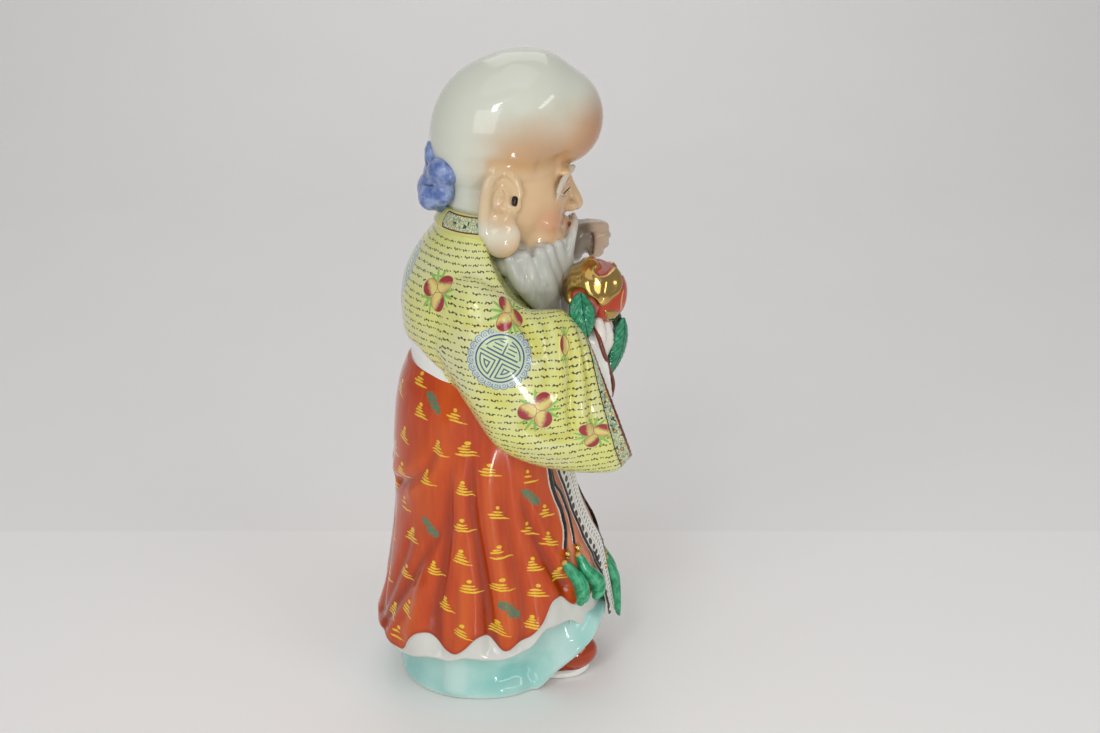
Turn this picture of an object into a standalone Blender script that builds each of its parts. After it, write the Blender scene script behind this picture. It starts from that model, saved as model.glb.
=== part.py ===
"""Porcelain figurine of a standing longevity deity: one cast piece, modelled solid.

The figure faces -Y, its left hand is towards +X, and it stands on z = 0.
All the named sizes below are millimetres; the finished mesh is in metres.
Each form (skirt, coat, sleeves, head, beard, hands, peach, sash) is a closed
lofted or turned shape. They are fused by a voxel remesh, as slip runs together
in a mould, and the drapery folds are then pressed into the fused skin.
"""
import math

import bmesh
import bpy
import numpy as np
from mathutils import Matrix, Vector

# ---------------------------------------------------------------- main sizes
HEIGHT = 380.0            # crown of the head above the table
FOOT_HALF_WIDTH = 50.0    # of the celadon underskirt on the table
FOOT_BACK, FOOT_FRONT = 59.5, 31.0
COLLAR_Z = 288.0
SLEEVE_CUT = 9.0          # depth of the hollow in each cuff
VOXEL = 1.35              # fusing resolution
TARGET_TRIANGLES = 9300
BODY_COLOUR = (0.80, 0.80, 0.74, 1.0)

FRONT = math.radians(270)


# ---------------------------------------------------------------- small tools
def smooth_curve(xs, ys, x):
    """Monotone cubic through stations, with no overshoot between them."""
    xs, ys = np.asarray(xs, float), np.asarray(ys, float)
    x = np.clip(np.asarray(x, float), xs[0], xs[-1])
    h, d = np.diff(xs), np.diff(ys) / np.diff(xs)
    m = np.empty(len(xs))
    m[0], m[-1] = d[0], d[-1]
    for i in range(1, len(xs) - 1):
        if d[i - 1] * d[i] <= 0:
            m[i] = 0.0
        else:
            w1, w2 = 2 * h[i] + h[i - 1], h[i] + 2 * h[i - 1]
            m[i] = (w1 + w2) / (w1 / d[i - 1] + w2 / d[i])
    k = np.clip(np.searchsorted(xs, x, side="right") - 1, 0, len(xs) - 2)
    t = (x - xs[k]) / h[k]
    return (
        ys[k] * (1 + 2 * t) * (1 - t) ** 2
        + h[k] * m[k] * t * (1 - t) ** 2
        + ys[k + 1] * t * t * (3 - 2 * t)
        + h[k] * m[k + 1] * t * t * (t - 1)
    )


def smooth_path(points, n):
    """n points along a smooth curve through the given ones."""
    points = np.asarray(points, float)
    s = np.concatenate([[0], np.cumsum(np.linalg.norm(np.diff(points, axis=0), axis=1))])
    t = np.linspace(0, s[-1], n)
    m = np.gradient(points, s, axis=0)
    k = np.clip(np.searchsorted(s, t, side="right") - 1, 0, len(s) - 2)
    h = (s[k + 1] - s[k])[:, None]
    u = ((t - s[k]) / h[:, 0])[:, None]
    return (
        points[k] * (1 + 2 * u) * (1 - u) ** 2
        + h * m[k] * u * (1 - u) ** 2
        + points[k + 1] * u * u * (3 - 2 * u)
        + h * m[k + 1] * u * u * (u - 1)
    )


def ease(x):
    x = np.clip(x, 0, 1)
    return x * x * (3 - 2 * x)


def loft(rings):
    """Closed mesh through equal rings, its two ends filled to their middles."""
    rings = np.asarray(rings, float)
    n, m, _ = rings.shape
    verts = np.concatenate([rings.reshape(-1, 3), rings[:1].mean(1), rings[-1:].mean(1)])
    faces = []
    for i in range(n - 1):
        for j in range(m):
            k = (j + 1) % m
            faces.append((i * m + j, i * m + k, (i + 1) * m + k, (i + 1) * m + j))
    low, high, last = n * m, n * m + 1, (n - 1) * m
    for j in range(m):
        k = (j + 1) % m
        faces.append((low, k, j))
        faces.append((high, last + j, last + k))
    return verts, faces


def tube(path, radii, sides=16, flat=1.0, normal=None):
    """Round or flattened tube along a path, with rounded ends."""
    path = np.asarray(path, float)
    radii = np.broadcast_to(np.asarray(radii, float), (len(path),)).copy()
    tangent = np.gradient(path, axis=0)
    tangent /= np.linalg.norm(tangent, axis=1)[:, None]
    n0 = np.array(normal if normal is not None else (0.0, 0.0, 1.0), float)
    if abs(tangent[0] @ n0) > 0.95 * np.linalg.norm(n0):
        n0 = np.array((0.0, 1.0, 0.0))
    a = 2 * np.pi * np.arange(sides) / sides
    rings = []

    def ring(p, t, r):
        n = n0 - t * (n0 @ t)
        n /= np.linalg.norm(n)
        b = np.cross(t, n)
        return p + r * (np.outer(np.cos(a), b) + flat * np.outer(np.sin(a), n))

    for q in (0.35, 0.75):
        rings.append(ring(path[0] - tangent[0] * radii[0] * flat * (1 - q), tangent[0], radii[0] * math.sqrt(1 - (1 - q) ** 2)))
    for p, t, r in zip(path, tangent, radii):
        rings.append(ring(p, t, r))
    for q in (0.75, 0.35):
        rings.append(ring(path[-1] + tangent[-1] * radii[-1] * flat * (1 - q), tangent[-1], radii[-1] * math.sqrt(1 - (1 - q) ** 2)))
    return loft(rings)


def ellipsoid(centre, radii, turn=(0, 0, 0), n=28):
    """Ball with three half-sizes, turned by degrees about X, Y and Z."""
    bm = bmesh.new()
    bmesh.ops.create_uvsphere(bm, u_segments=n, v_segments=n // 2, radius=1.0)
    rx, ry, rz = (Matrix.Rotation(math.radians(d), 4, ax) for d, ax in zip(turn, "XYZ"))
    bmesh.ops.transform(
        bm,
        matrix=Matrix.Translation(Vector(centre)) @ rz @ ry @ rx @ Matrix.Diagonal((*radii, 1.0)),
        verts=bm.verts,
    )
    bm.verts.index_update()
    shape = np.array([v.co[:] for v in bm.verts]), [tuple(v.index for v in f.verts) for f in bm.faces]
    bm.free()
    return shape


def leaf(path, width, normal, thick=2.6, n=22, cup=0.18):
    """Pointed leaf blade along a path, crowned across, closed underneath."""
    path = smooth_path(path, n)
    tangent = np.gradient(path, axis=0)
    tangent /= np.linalg.norm(tangent, axis=1)[:, None]
    nrm = np.asarray(normal, float)
    rings = []
    across = np.linspace(-1, 1, 11)
    for i, (p, t) in enumerate(zip(path, tangent)):
        s = 0.02 + 0.96 * i / (n - 1)
        w = 0.5 * width * math.sin(math.pi * s ** 0.8) ** 0.75 + 0.35
        up = nrm - t * (nrm @ t)
        up /= np.linalg.norm(up)
        side = np.cross(t, up)
        arch = thick * (0.25 + 0.75 * (1 - across**2)) * (0.35 + 0.65 * math.sin(math.pi * s)) - cup * w * across**2
        top = p + np.outer(across * w, side) + np.outer(arch, up)
        low = p + np.outer(across[::-1] * w, side) - np.outer(thick * 0.6 + cup * w * across**2, up)
        rings.append(np.concatenate([top, low]))
    return loft(rings)


def horizontal(z, half_width, front, back, centre_x=0.0, n=96, power=2.0, middle=0.0, angles=None):
    """Egg-shaped level ring. Angle 0 is the figure's left, 90 degrees its back."""
    a = 2 * np.pi * np.arange(n) / n if angles is None else angles
    c, s = np.cos(a), np.sin(a)
    q = 2.0 / power
    x = centre_x + half_width * np.sign(c) * np.abs(c) ** q
    depth = np.where(s > 0, back - middle, front + middle)
    y = middle + depth * np.sign(s) * np.abs(s) ** q
    return np.stack([x, y, np.broadcast_to(z, x.shape)], 1)


def around(stations, a):
    """Smooth function of the angle round the figure, from (degrees, value) stations."""
    d = np.array([s[0] for s in stations], float)
    v = np.array([s[1] for s in stations], float)
    d = np.concatenate([d - 360, d, d + 360])
    return smooth_curve(d, np.tile(v, 3), np.degrees(a) % 360)


# ---------------------------------------------------------------- underskirt
def underskirt(n=144):
    """Celadon underskirt: on the table at the sides and back, lifted over the shoes in front."""
    a = 2 * np.pi * np.arange(n) / n
    front = np.degrees(np.abs((a - FRONT + np.pi) % (2 * np.pi) - np.pi))
    lift = smooth_curve([0, 12, 20, 25, 33, 41, 52, 180], [35, 38, 37, 29, 19, 9.5, 0, 0], front)
    reach = smooth_curve([0, 20, 30, 41, 60, 180], [34, 33, 24, 11, 0, 0], front)
    billow = 1.6 * np.sin(5 * a + 0.6) + 0.9 * np.sin(9 * a + 2.0)

    def ring(z, grow, part, fold=0.0):
        r = horizontal(0.0, FOOT_HALF_WIDTH + grow, FOOT_FRONT + grow, FOOT_BACK + grow, n=n, power=2.15, middle=8.0)
        out = r.copy()
        radial = r[:, :2] / np.linalg.norm(r[:, :2], axis=1)[:, None]
        out[:, :2] += radial * (part * reach + fold * billow)[:, None]
        out[:, 2] = z
        return out

    rings = [
        ring(np.full(n, -4.0), -1.0, 0.0),
        ring(np.zeros(n), -0.6, 0.0),
        ring(lift * 0.93, -0.4, 0.12),
        ring(lift + 0.6, 0.8, 0.92),
        ring(lift + 2.6, 2.0, 1.0, 0.3),
        ring(lift + 5.5, 1.9, 1.0, 0.7),
        ring(lift * 0.9 + 11.0, 0.2, 0.95, 1.0),
        ring(lift * 0.75 + 21.0, -1.2, 0.86, 1.0),
        ring(lift * 0.5 + 36.0, -1.5, 0.7, 0.6),
        ring(np.full(n, 60.0), -2.5, 0.5),
        ring(np.full(n, 90.0), -6.0, 0.35),
    ]
    return loft(rings)


# ---------------------------------------------------------------- skirt
WAVE = [  # height of the orange hem's rippled edge round the figure
    (0, 31), (10, 41), (24, 31), (40, 50), (50, 36), (66, 45), (90, 38.5), (112, 46),
    (130, 36), (140, 52), (156, 30.5), (170, 40.5), (180, 31), (195, 43), (205, 61),
    (211, 67), (220, 58), (238, 64), (256, 60), (284, 60), (302, 64), (320, 58),
    (329, 67), (336, 60), (348, 42),
]
HEM = [  # height of the smooth white edge below it
    (0, 28), (24, 28), (50, 34), (90, 33), (130, 34), (156, 27.5), (180, 28.5), (195, 35),
    (208, 47), (222, 47), (240, 33), (270, 25.5), (300, 33), (318, 47), (332, 47), (348, 32),
]
SKIRT_Z = [25, 31, 38.5, 44, 57, 78, 98, 117, 150, 169, 188, 203, 216]
SKIRT_BACK = [79, 79, 78, 75.3, 71, 67.4, 64.3, 62.2, 62, 60.7, 57, 51.5, 45]
SKIRT_FRONT = [64.5, 64, 63, 62, 60.5, 58.5, 54, 46.5, 39.5, 37.5, 36, 35, 34]
SKIRT_SIDE = [64, 64, 63.5, 62.5, 60, 57, 55, 54, 53, 52, 50, 47.5, 44]
WAIST = [(0, 199), (30, 202), (38, 205), (60, 208.5), (90, 204.8), (120, 208.5), (142, 205),
         (150, 202), (180, 199), (225, 192), (270, 190), (315, 192)]   # top edge of the skirt


def skirt_radius(z):
    return tuple(smooth_curve(SKIRT_Z, v, z) for v in (SKIRT_SIDE, SKIRT_FRONT, SKIRT_BACK))


def lobes(a, z):
    """Outward swelling of the flared hem between its creases."""
    w = around(WAVE, a) - around(HEM, a)
    return (w - 9.0) * 0.22 * ease((112.0 - z) / 74.0)


def skirt(n=216):
    a = 2 * np.pi * np.arange(n) / n
    wave, hem = around(WAVE, a), around(HEM, a)
    wave = np.maximum(wave, hem + 1.2)

    def ring(z, inset=0.0, lobe=1.0):
        side, front, back = skirt_radius(z)
        c, s = np.cos(a), np.sin(a)
        q = 2 / 2.1
        depth = np.where(s > 0, back - 6.0, front + 6.0)
        p = np.stack([side * np.sign(c) * np.abs(c) ** q, 6.0 + depth * np.sign(s) * np.abs(s) ** q, z + 0 * a], 1)
        radial = p[:, :2] - np.array([0.0, 6.0])
        radial /= np.linalg.norm(radial, axis=1)[:, None]
        p[:, :2] += radial * (lobe * lobes(a, z) - inset)[:, None]
        return p

    rings = [ring(hem, 14.0, 0.0), ring(hem - 0.2, 4.2, 0.2), ring(hem + 0.9, 3.1, 0.3)]
    rings.append(ring(wave - 0.9, 3.4, 0.7))
    rings.append(ring(wave - 0.3, 0.6, 1.0))
    rings.append(ring(wave + 1.2, -0.1, 1.0))
    top = around(WAIST, a)
    for t in np.linspace(0.04, 1.0, 22):
        rings.append(ring(wave + (top - wave) * t))
    rings.append(ring(top + 0.6, 1.2))
    rings.append(ring(top + 0.4, 6.0))
    rings.append(ring(top - 6.0, 14.0))
    return loft(rings)


# ---------------------------------------------------------------- coat
COAT_Z = [188, 199, 206, 212, 218, 226, 237, 249, 263, 275, 282, 288, 293]
COAT_BACK = [48, 48, 49.5, 50.8, 51.8, 54.2, 55, 53.5, 47.8, 39.5, 33.5, 28.5, 26]
COAT_FRONT = [37.5, 38.5, 38, 37.5, 37, 35.5, 32.5, 29, 25, 21.5, 20, 19, 18]
COAT_SIDE = [49, 50, 51, 53, 55, 57.5, 59.5, 59, 52, 43, 36, 30, 26]
COAT_HEM = [(0, 196), (30, 207), (39, 211), (49, 215), (62, 219), (90, 219), (118, 219), (131, 215),
            (141, 211), (150, 207), (180, 196), (225, 192), (270, 190), (315, 192)]


def coat_radius(z):
    return tuple(smooth_curve(COAT_Z, v, z) for v in (COAT_SIDE, COAT_FRONT, COAT_BACK))


def coat_body(n=120, grow=0.0):
    """Coat from its hem at the waist to the neck, with the smooth waist below it."""
    a = 2 * np.pi * np.arange(n) / n
    hem = around(COAT_HEM, a)

    def ring(z, inset=0.0):
        side, front, back = coat_radius(z)
        c, s = np.cos(a), np.sin(a)
        q = 2 / 2.2
        depth = np.where(s > 0, back - 8.0, front + 8.0) - inset
        return np.stack([(side - inset) * np.sign(c) * np.abs(c) ** q, 8.0 + depth * np.sign(s) * np.abs(s) ** q, z + 0 * a], 1)

    rings = [ring(hem - 26.0, 12.0), ring(hem - 24.0, 4.0), ring(hem - 12.0, 3.4), ring(hem - 1.2, 3.0), ring(hem - 0.6, 0.9), ring(hem + 0.8, 0.0)]
    rings += [ring(hem + (293 - hem) * t, 0.0) for t in np.linspace(0.03, 1, 26)]
    return loft(rings)


def sleeve(stations, n=56, count=34, cut=SLEEVE_CUT, rim=3.0):
    """Hanging sleeve. A station is (top y, z), (bottom y, z), middle x, half thickness."""
    st = np.array([(*t, *b, x, w) for t, b, x, w in stations], float)
    s = np.linspace(0, 1, len(st))
    t = np.linspace(0, 1, count)
    ty, tz, by, bz, cx, hw = (smooth_curve(s, st[:, i], t) for i in range(6))
    a = 2 * np.pi * np.arange(n) / n
    c = np.sign(np.cos(a)) * np.abs(np.cos(a)) ** 0.9
    sn = np.sign(np.sin(a)) * np.abs(np.sin(a)) ** 0.9

    def ring(i, scale=1.0, push=0.0):
        mid = np.array([cx[i], (ty[i] + by[i]) / 2, (tz[i] + bz[i]) / 2])
        half = np.array([0.0, (ty[i] - by[i]) / 2, (tz[i] - bz[i]) / 2])
        long = np.linalg.norm(half)
        sink = np.array([0.0, -half[2], half[1]]) / long
        inward = sink if sink[1] > 0 else -sink
        squeeze = (long - (1 - scale)) / long if scale != 1.0 else 1.0
        wide = hw[i] - (1 - scale) if scale != 1.0 else hw[i]
        return mid + inward * push + np.outer(c * squeeze, half) + np.outer(sn * wide, (1.0, 0.0, 0.0))

    rings = [ring(0, 1 - 6.0, 4.0), ring(0, 1 - 1.5, 1.0)] + [ring(i) for i in range(count)]
    last = count - 1
    rings += [ring(last, 1 - 1.0, -0.9), ring(last, 1 - rim * 0.7, -0.8), ring(last, 1 - rim, 0.6)]
    rings += [ring(last, 1 - rim * 1.3, cut * 0.7), ring(last, 1 - rim * 2.2, cut)]
    return loft(rings)


RIGHT_SLEEVE = [
    ((30, 262), (33, 210), -40, 17),
    ((18, 264), (20, 189), -49, 24),
    ((2, 257), (3, 164.5), -53.5, 25),
    ((-16, 243.5), (-18, 153), -52, 25),
    ((-32, 242), (-44, 145.5), -47.5, 24),
    ((-43, 233), (-64, 142.5), -42, 22.5),
    ((-47.5, 227), (-75.5, 150.5), -38.5, 21),
]
LEFT_SLEEVE = [
    ((30, 262), (33, 210), 40, 17),
    ((17, 264), (19, 194), 48.5, 24),
    ((1, 259), (3, 172), 53, 25.5),
    ((-15, 253), (-15, 161), 52, 25),
    ((-29, 253), (-34, 156), 49.5, 24.5),
    ((-39, 252), (-50, 156.5), 46.5, 23),
    ((-45, 251), (-60, 164), 44.5, 21.5),
]


# ---------------------------------------------------------------- head
HEAD_FORMS = [  # (middle, half-sizes, turn)
    ((0, -4, 333), (40, 40, 43.5), (14, 0, 0)),        # back of the dome
    ((0, -16, 345), (37, 38, 34.5), (0, 0, 0)),        # crown
    ((0, -35, 342), (30.5, 27.2, 28), (0, 0, 0)),      # great forehead
    ((0, -7, 300), (33.5, 36, 34), (0, 0, 0)),         # cheeks and temples
    ((0, -22, 276), (25, 20, 22), (0, 0, 0)),          # jaw
    ((0, 3, 295), (24.5, 25, 26), (0, 0, 0)),          # neck
    ((17, -30, 288), (10, 9.5, 10), (0, 0, 0)),        # cheek balls
    ((-17, -30, 288), (10, 9.5, 10), (0, 0, 0)),
]


def ear(side):
    """Long-lobed ear lying against the head."""
    x = 35.0 * side
    rim = smooth_path([(x - side, -10.5, 307), (x, -7.5, 314.5), (x + 0.5 * side, -2, 318), (x + 1.5 * side, 4.0, 314),
                       (x + 2 * side, 6.8, 304), (x + 2 * side, 8.0, 293), (x + 1.5 * side, 8.0, 283)], 20)
    return [
        ellipsoid((x - 1.5 * side, -1.5, 299), (4.6, 9.0, 18.0), (0, 0, 0)),
        tube(rim, np.linspace(2.6, 3.8, 20), sides=12),
        ellipsoid((x + 0.5 * side, -1.2, 281), (6.2, 10.6, 11.6), (0, 0, 0)),
    ]


def beard_forms():
    """Beard from ear to ear over the chest, in long locks, with the moustache over it."""
    forms = [ellipsoid((0, -19, 262), (28.5, 21.5, 17.5), (-12, 0, 0), 36)]
    z = np.linspace(0, 1, 20)
    for i in range(11):
        q = (i - 5) / 5.0
        x0, x1 = 29.0 * math.sin(1.35 * q), 12.5 * q
        y0 = -38.5 + 37.0 * abs(q) ** 2.2
        path = np.stack([
            x0 + (x1 - x0) * ease(z) + 1.0 * np.sin(5 * z + i),
            y0 + (-36.0 + 8 * q * q - y0) * ease(z * 1.1) - 3.0 * np.sin(np.pi * z),
            (272 - 5 * q * q) + ((203 + 17 * q * q) - 272) * z,
        ], 1)
        r = smooth_curve([0, 0.25, 0.7, 1], [5.5, 7.6, 5.6, 1.6], z)
        forms.append(tube(path, r, sides=14))
    for side in (-1, 1):
        path = smooth_path([(2.0 * side, -45.5, 284), (10 * side, -44.0, 280.5), (17 * side, -40.5, 270),
                            (18.5 * side, -38.5, 254), (15 * side, -40.0, 240)], 18)
        forms.append(tube(path, smooth_curve([0, 0.3, 0.8, 1], [1.8, 3.0, 2.6, 0.9], np.linspace(0, 1, 18)), sides=12))
    return forms


def head_scarf():
    """Blue cloth knotted at the nape."""
    rows = [  # height, half width, back, thickness
        (328, 5.0, 38.5, 5), (322, 11, 39.5, 7), (314, 17.5, 40.0, 9), (308, 17.0, 40.5, 9),
        (302, 15.5, 43.0, 11), (296, 17.5, 42.5, 12), (291, 14.5, 37.5, 10), (287, 7.0, 31.0, 7),
    ]
    z = np.linspace(328, 287, 16)
    cols = list(zip(*rows))
    order = np.argsort(cols[0])
    w, b, t = (smooth_curve(np.array(cols[0])[order], np.array(c)[order], z) for c in cols[1:])
    rings = []
    for zi, wi, bi, ti in zip(z, w, b, t):
        rings.append(horizontal(zi, wi, -(bi - 2 * ti), bi, n=40, power=2.3, middle=bi - ti))
    return loft(rings)


# ---------------------------------------------------------------- hands and peach
def right_hand():
    """Hand under the peach with the plain inner sleeve round its wrist."""
    path = smooth_path([(-42, -34, 204), (-37, -48, 204), (-34, -60.0, 204.5)], 8)
    forms = []
    a = 2 * np.pi * np.arange(28) / 28
    rings = []
    for p, h, w in zip(path, np.linspace(25, 20.5, 8), np.linspace(13, 9.0, 8)):
        rings.append(p + np.stack([w * np.cos(a), 0.15 * h * np.sin(a), h * np.sin(a)], 1))
    rings.append((rings[-1] - path[-1]) * 0.72 + path[-1] + np.array((0.6, -2.0, 0.0)))
    forms.append(loft(rings))
    forms.append(ellipsoid((-31, -54.5, 217), (9.5, 9.5, 12.0), (0, 0, 0)))
    for x, y, zt in ((-38.5, -55.5, 230), (-33.5, -60.5, 226.5), (-27.5, -62.5, 225.0), (-21.5, -61.0, 226.0)):
        forms.append(tube(smooth_path([(x + 2, y + 4.0, zt - 14), (x, y - 0.5, zt - 6), (x, y + 1.0, zt + 2)], 9), np.linspace(4.6, 3.4, 9), sides=12))
    return forms


def left_hand():
    """Raised fist, once closed on a staff."""
    forms = [
        ellipsoid((47, -53.5, 259.5), (9.2, 9.0, 11.3), (0, 0, 0)),
        tube(smooth_path([(48.5, -30, 226), (48.5, -41, 240), (48, -49, 252)], 8), np.linspace(12, 9, 8), sides=20),
    ]
    for i, (y, z) in enumerate(((-66.5, 267.0), (-67.5, 261.3), (-66.5, 255.4), (-64.0, 250.0))):
        path = smooth_path([(51.5, -55.0, z + 0.5), (50.5, y + 2.5, z), (45.5, y - 1.5, z - 0.4), (40.5, y + 2.0, z - 0.4), (40.0, -58.5, z)], 14)
        forms.append(tube(path, np.linspace(3.9, 3.2, 14), sides=12))
    thumb = smooth_path([(42.0, -50.5, 264), (38.0, -56.0, 267.5), (40.0, -63.0, 268.5)], 10)
    forms.append(tube(thumb, np.linspace(4.2, 3.2, 10), sides=12))
    return forms


PEACH = np.array((-25.0, -55.5, 246.5))


def peach_forms():
    """Peach with a bat spread over it, two leaves and the stalk."""
    px, py, pz = PEACH
    bm_forms = [
        ellipsoid(PEACH, (17.2, 17.6, 19.2)),
        ellipsoid(PEACH + (2.5, -1.5, 3.0), (15.5, 15.0, 16.6), (0, 14, 0)),
        ellipsoid((px - 12.0, py + 7.0, pz + 7.0), (7.2, 11.0, 9.0), (20, 0, 0)),      # near wing, rear part
        ellipsoid((px - 12.5, py - 5.5, pz + 1.0), (7.4, 10.0, 10.2), (-10, 0, 0)),    # near wing, front part
        ellipsoid((px - 6.0, py - 12.0, pz - 7.0), (8.0, 7.0, 11.5), (0, 0, 0)),       # body
        ellipsoid((px - 7.0, py - 12.5, pz - 18.0), (4.6, 3.6, 5.8), (0, 0, 0)),       # foot of the wing
        ellipsoid((px + 9.0, py - 10.0, pz + 2.0), (8.6, 7.6, 10.5), (0, 0, 30)),      # far wing
    ]
    hook = smooth_path([(px - 15, py + 13, pz + 8), (px - 14.5, py + 17.0, pz + 1.5), (px - 14, py + 16, pz - 8)], 12)
    bm_forms.append(tube(hook, np.linspace(4.6, 2.0, 12), sides=12))
    bm_forms.append(leaf([(px - 16.5, py + 12.0, pz + 2.0), (px - 20.0, py + 12.0, pz - 8), (px - 20.0, py + 10.0, pz - 20.0)], 12.5, (-1, -0.15, 0.1)))
    bm_forms.append(leaf([(px - 1.0, py - 17.0, pz - 18), (px - 2.0, py - 13.5, pz - 34), (px - 4.0, py - 5.5, pz - 52)], 12.0, (-0.6, -0.8, -0.1)))
    stalk = smooth_path([(px - 13.5, py + 3.5, pz - 13), (px - 16.5, py + 0.0, pz - 24), (px - 15.5, py - 5.0, pz - 40), (px - 12.0, py - 9.0, pz - 53), (px - 9.0, py - 8.5, pz - 61)], 18)
    bm_forms.append(tube(stalk, 1.6, sides=10))
    return bm_forms


# ---------------------------------------------------------------- sash, tassels, shoes
def on_skirt(deg, z, out=0.0):
    """Point on the skirt at an angle round it and a height, stood off by out."""
    side, front, back = (float(v) for v in skirt_radius(z))
    a = math.radians(deg)
    c, s = math.cos(a), math.sin(a)
    q = 2 / 2.1
    depth = back - 6.0 if s > 0 else front + 6.0
    p = np.array([side * math.copysign(abs(c) ** q, c), 6.0 + depth * math.copysign(abs(s) ** q, s), z])
    radial = (p[:2] - np.array([0.0, 6.0])) / np.linalg.norm(p[:2] - np.array([0.0, 6.0]))
    p[:2] += radial * (out + float(lobes(np.array([a]), z)[0]))
    return p


CORDS = [  # angles at belt and bead, bead height, tassel height, tassel angle
    (219.0, 229.5, 83.0, 52.0, 233.0),
    (229.0, 239.2, 88.0, 55.0, 244.0),
    (258.0, 262.5, 93.0, 32.0, 264.0),
    (311.0, 300.8, 88.0, 55.0, 296.0),
    (321.0, 310.5, 83.0, 52.0, 307.0),
]
RIBBONS = [  # angle at belt, angle at hem
    (242.0, 258.0),
    (298.0, 282.0),
]


def sash_forms():
    forms = []
    for top, low in RIBBONS:
        ribbon = [on_skirt(top + (low - top) * ease(q), z, 0.6) for q, z in zip(np.linspace(0, 1, 16), np.linspace(186, 35, 16))]
        forms.append(tube(ribbon, np.linspace(5.4, 4.0, 16), sides=16, flat=0.34, normal=(-0.35 if top < 270 else 0.35, -1, 0)))
    for top, low, bead, drop, end in CORDS:
        path = [on_skirt(top + (low - top) * ease(q) + 1.0 * math.sin(4 * q), 186 + (bead - 186) * q, 0.6) for q in np.linspace(0, 1, 14)]
        forms.append(tube(path, np.linspace(1.9, 1.3, 14), sides=10))
        forms.append(ellipsoid(on_skirt(low, bead, 2.2), (2.8, 2.8, 2.8), n=16))
        long = bead - drop
        fall = [on_skirt(low + (end - low) * q + 2.5 * math.sin(4.5 * q), bead - 4 - (long - 9) * q, 2.2 + 0.02 * long * q) for q in np.linspace(0, 1, 14)]
        forms.append(tube(fall, smooth_curve([0, 0.2, 0.65, 0.9, 1], [2.4, 3.2, 4.9, 5.2, 3.4], np.linspace(0, 1, 14)), sides=14))
    rings = []
    for dz, out in ((-5.5, -6.0), (-5.0, 0.6), (0.0, 1.8), (5.0, 0.6), (5.5, -6.0)):
        rings.append(np.array([on_skirt(d, 190.0 + dz, out) for d in np.linspace(205, 335, 30)]
                              + [on_skirt(d, 190.0 + dz, -16.0) for d in np.linspace(335, 205, 30)]))
    forms.append(loft(rings))
    return forms


def shoe(side):
    rings = []
    for t in np.linspace(0, 1, 14):
        y = -24.0 - 35.5 * math.sin(t * math.pi / 2)
        w = 12.6 * math.sqrt(max(1 - (t * 0.985) ** 3.2, 0.002))
        h = 14.5 * (1 - 0.2 * t) * math.sqrt(max(1 - (t * 0.985) ** 4, 0.002))
        a = 2 * np.pi * np.arange(28) / 28
        x = side * (20.0 + 1.5 * t) + w * np.cos(a)
        z = 7.5 + h * np.sin(a)
        rings.append(np.stack([x, np.full(28, y), np.maximum(z, -3.0)], 1))
    upper = loft(rings)
    sole = []
    for z, grow in ((-4.0, 0.2), (0.0, 0.4), (3.0, 1.3), (5.0, 0.6)):
        a = 2 * np.pi * np.arange(32) / 32
        x = side * 21.0 + (12.2 + grow) * np.sign(np.cos(a)) * np.abs(np.cos(a)) ** 0.8
        y = -39.0 + (20.0 + grow) * np.sin(a)
        sole.append(np.stack([x, y, np.full(32, z)], 1))
    return [upper, loft(sole)]


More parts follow.
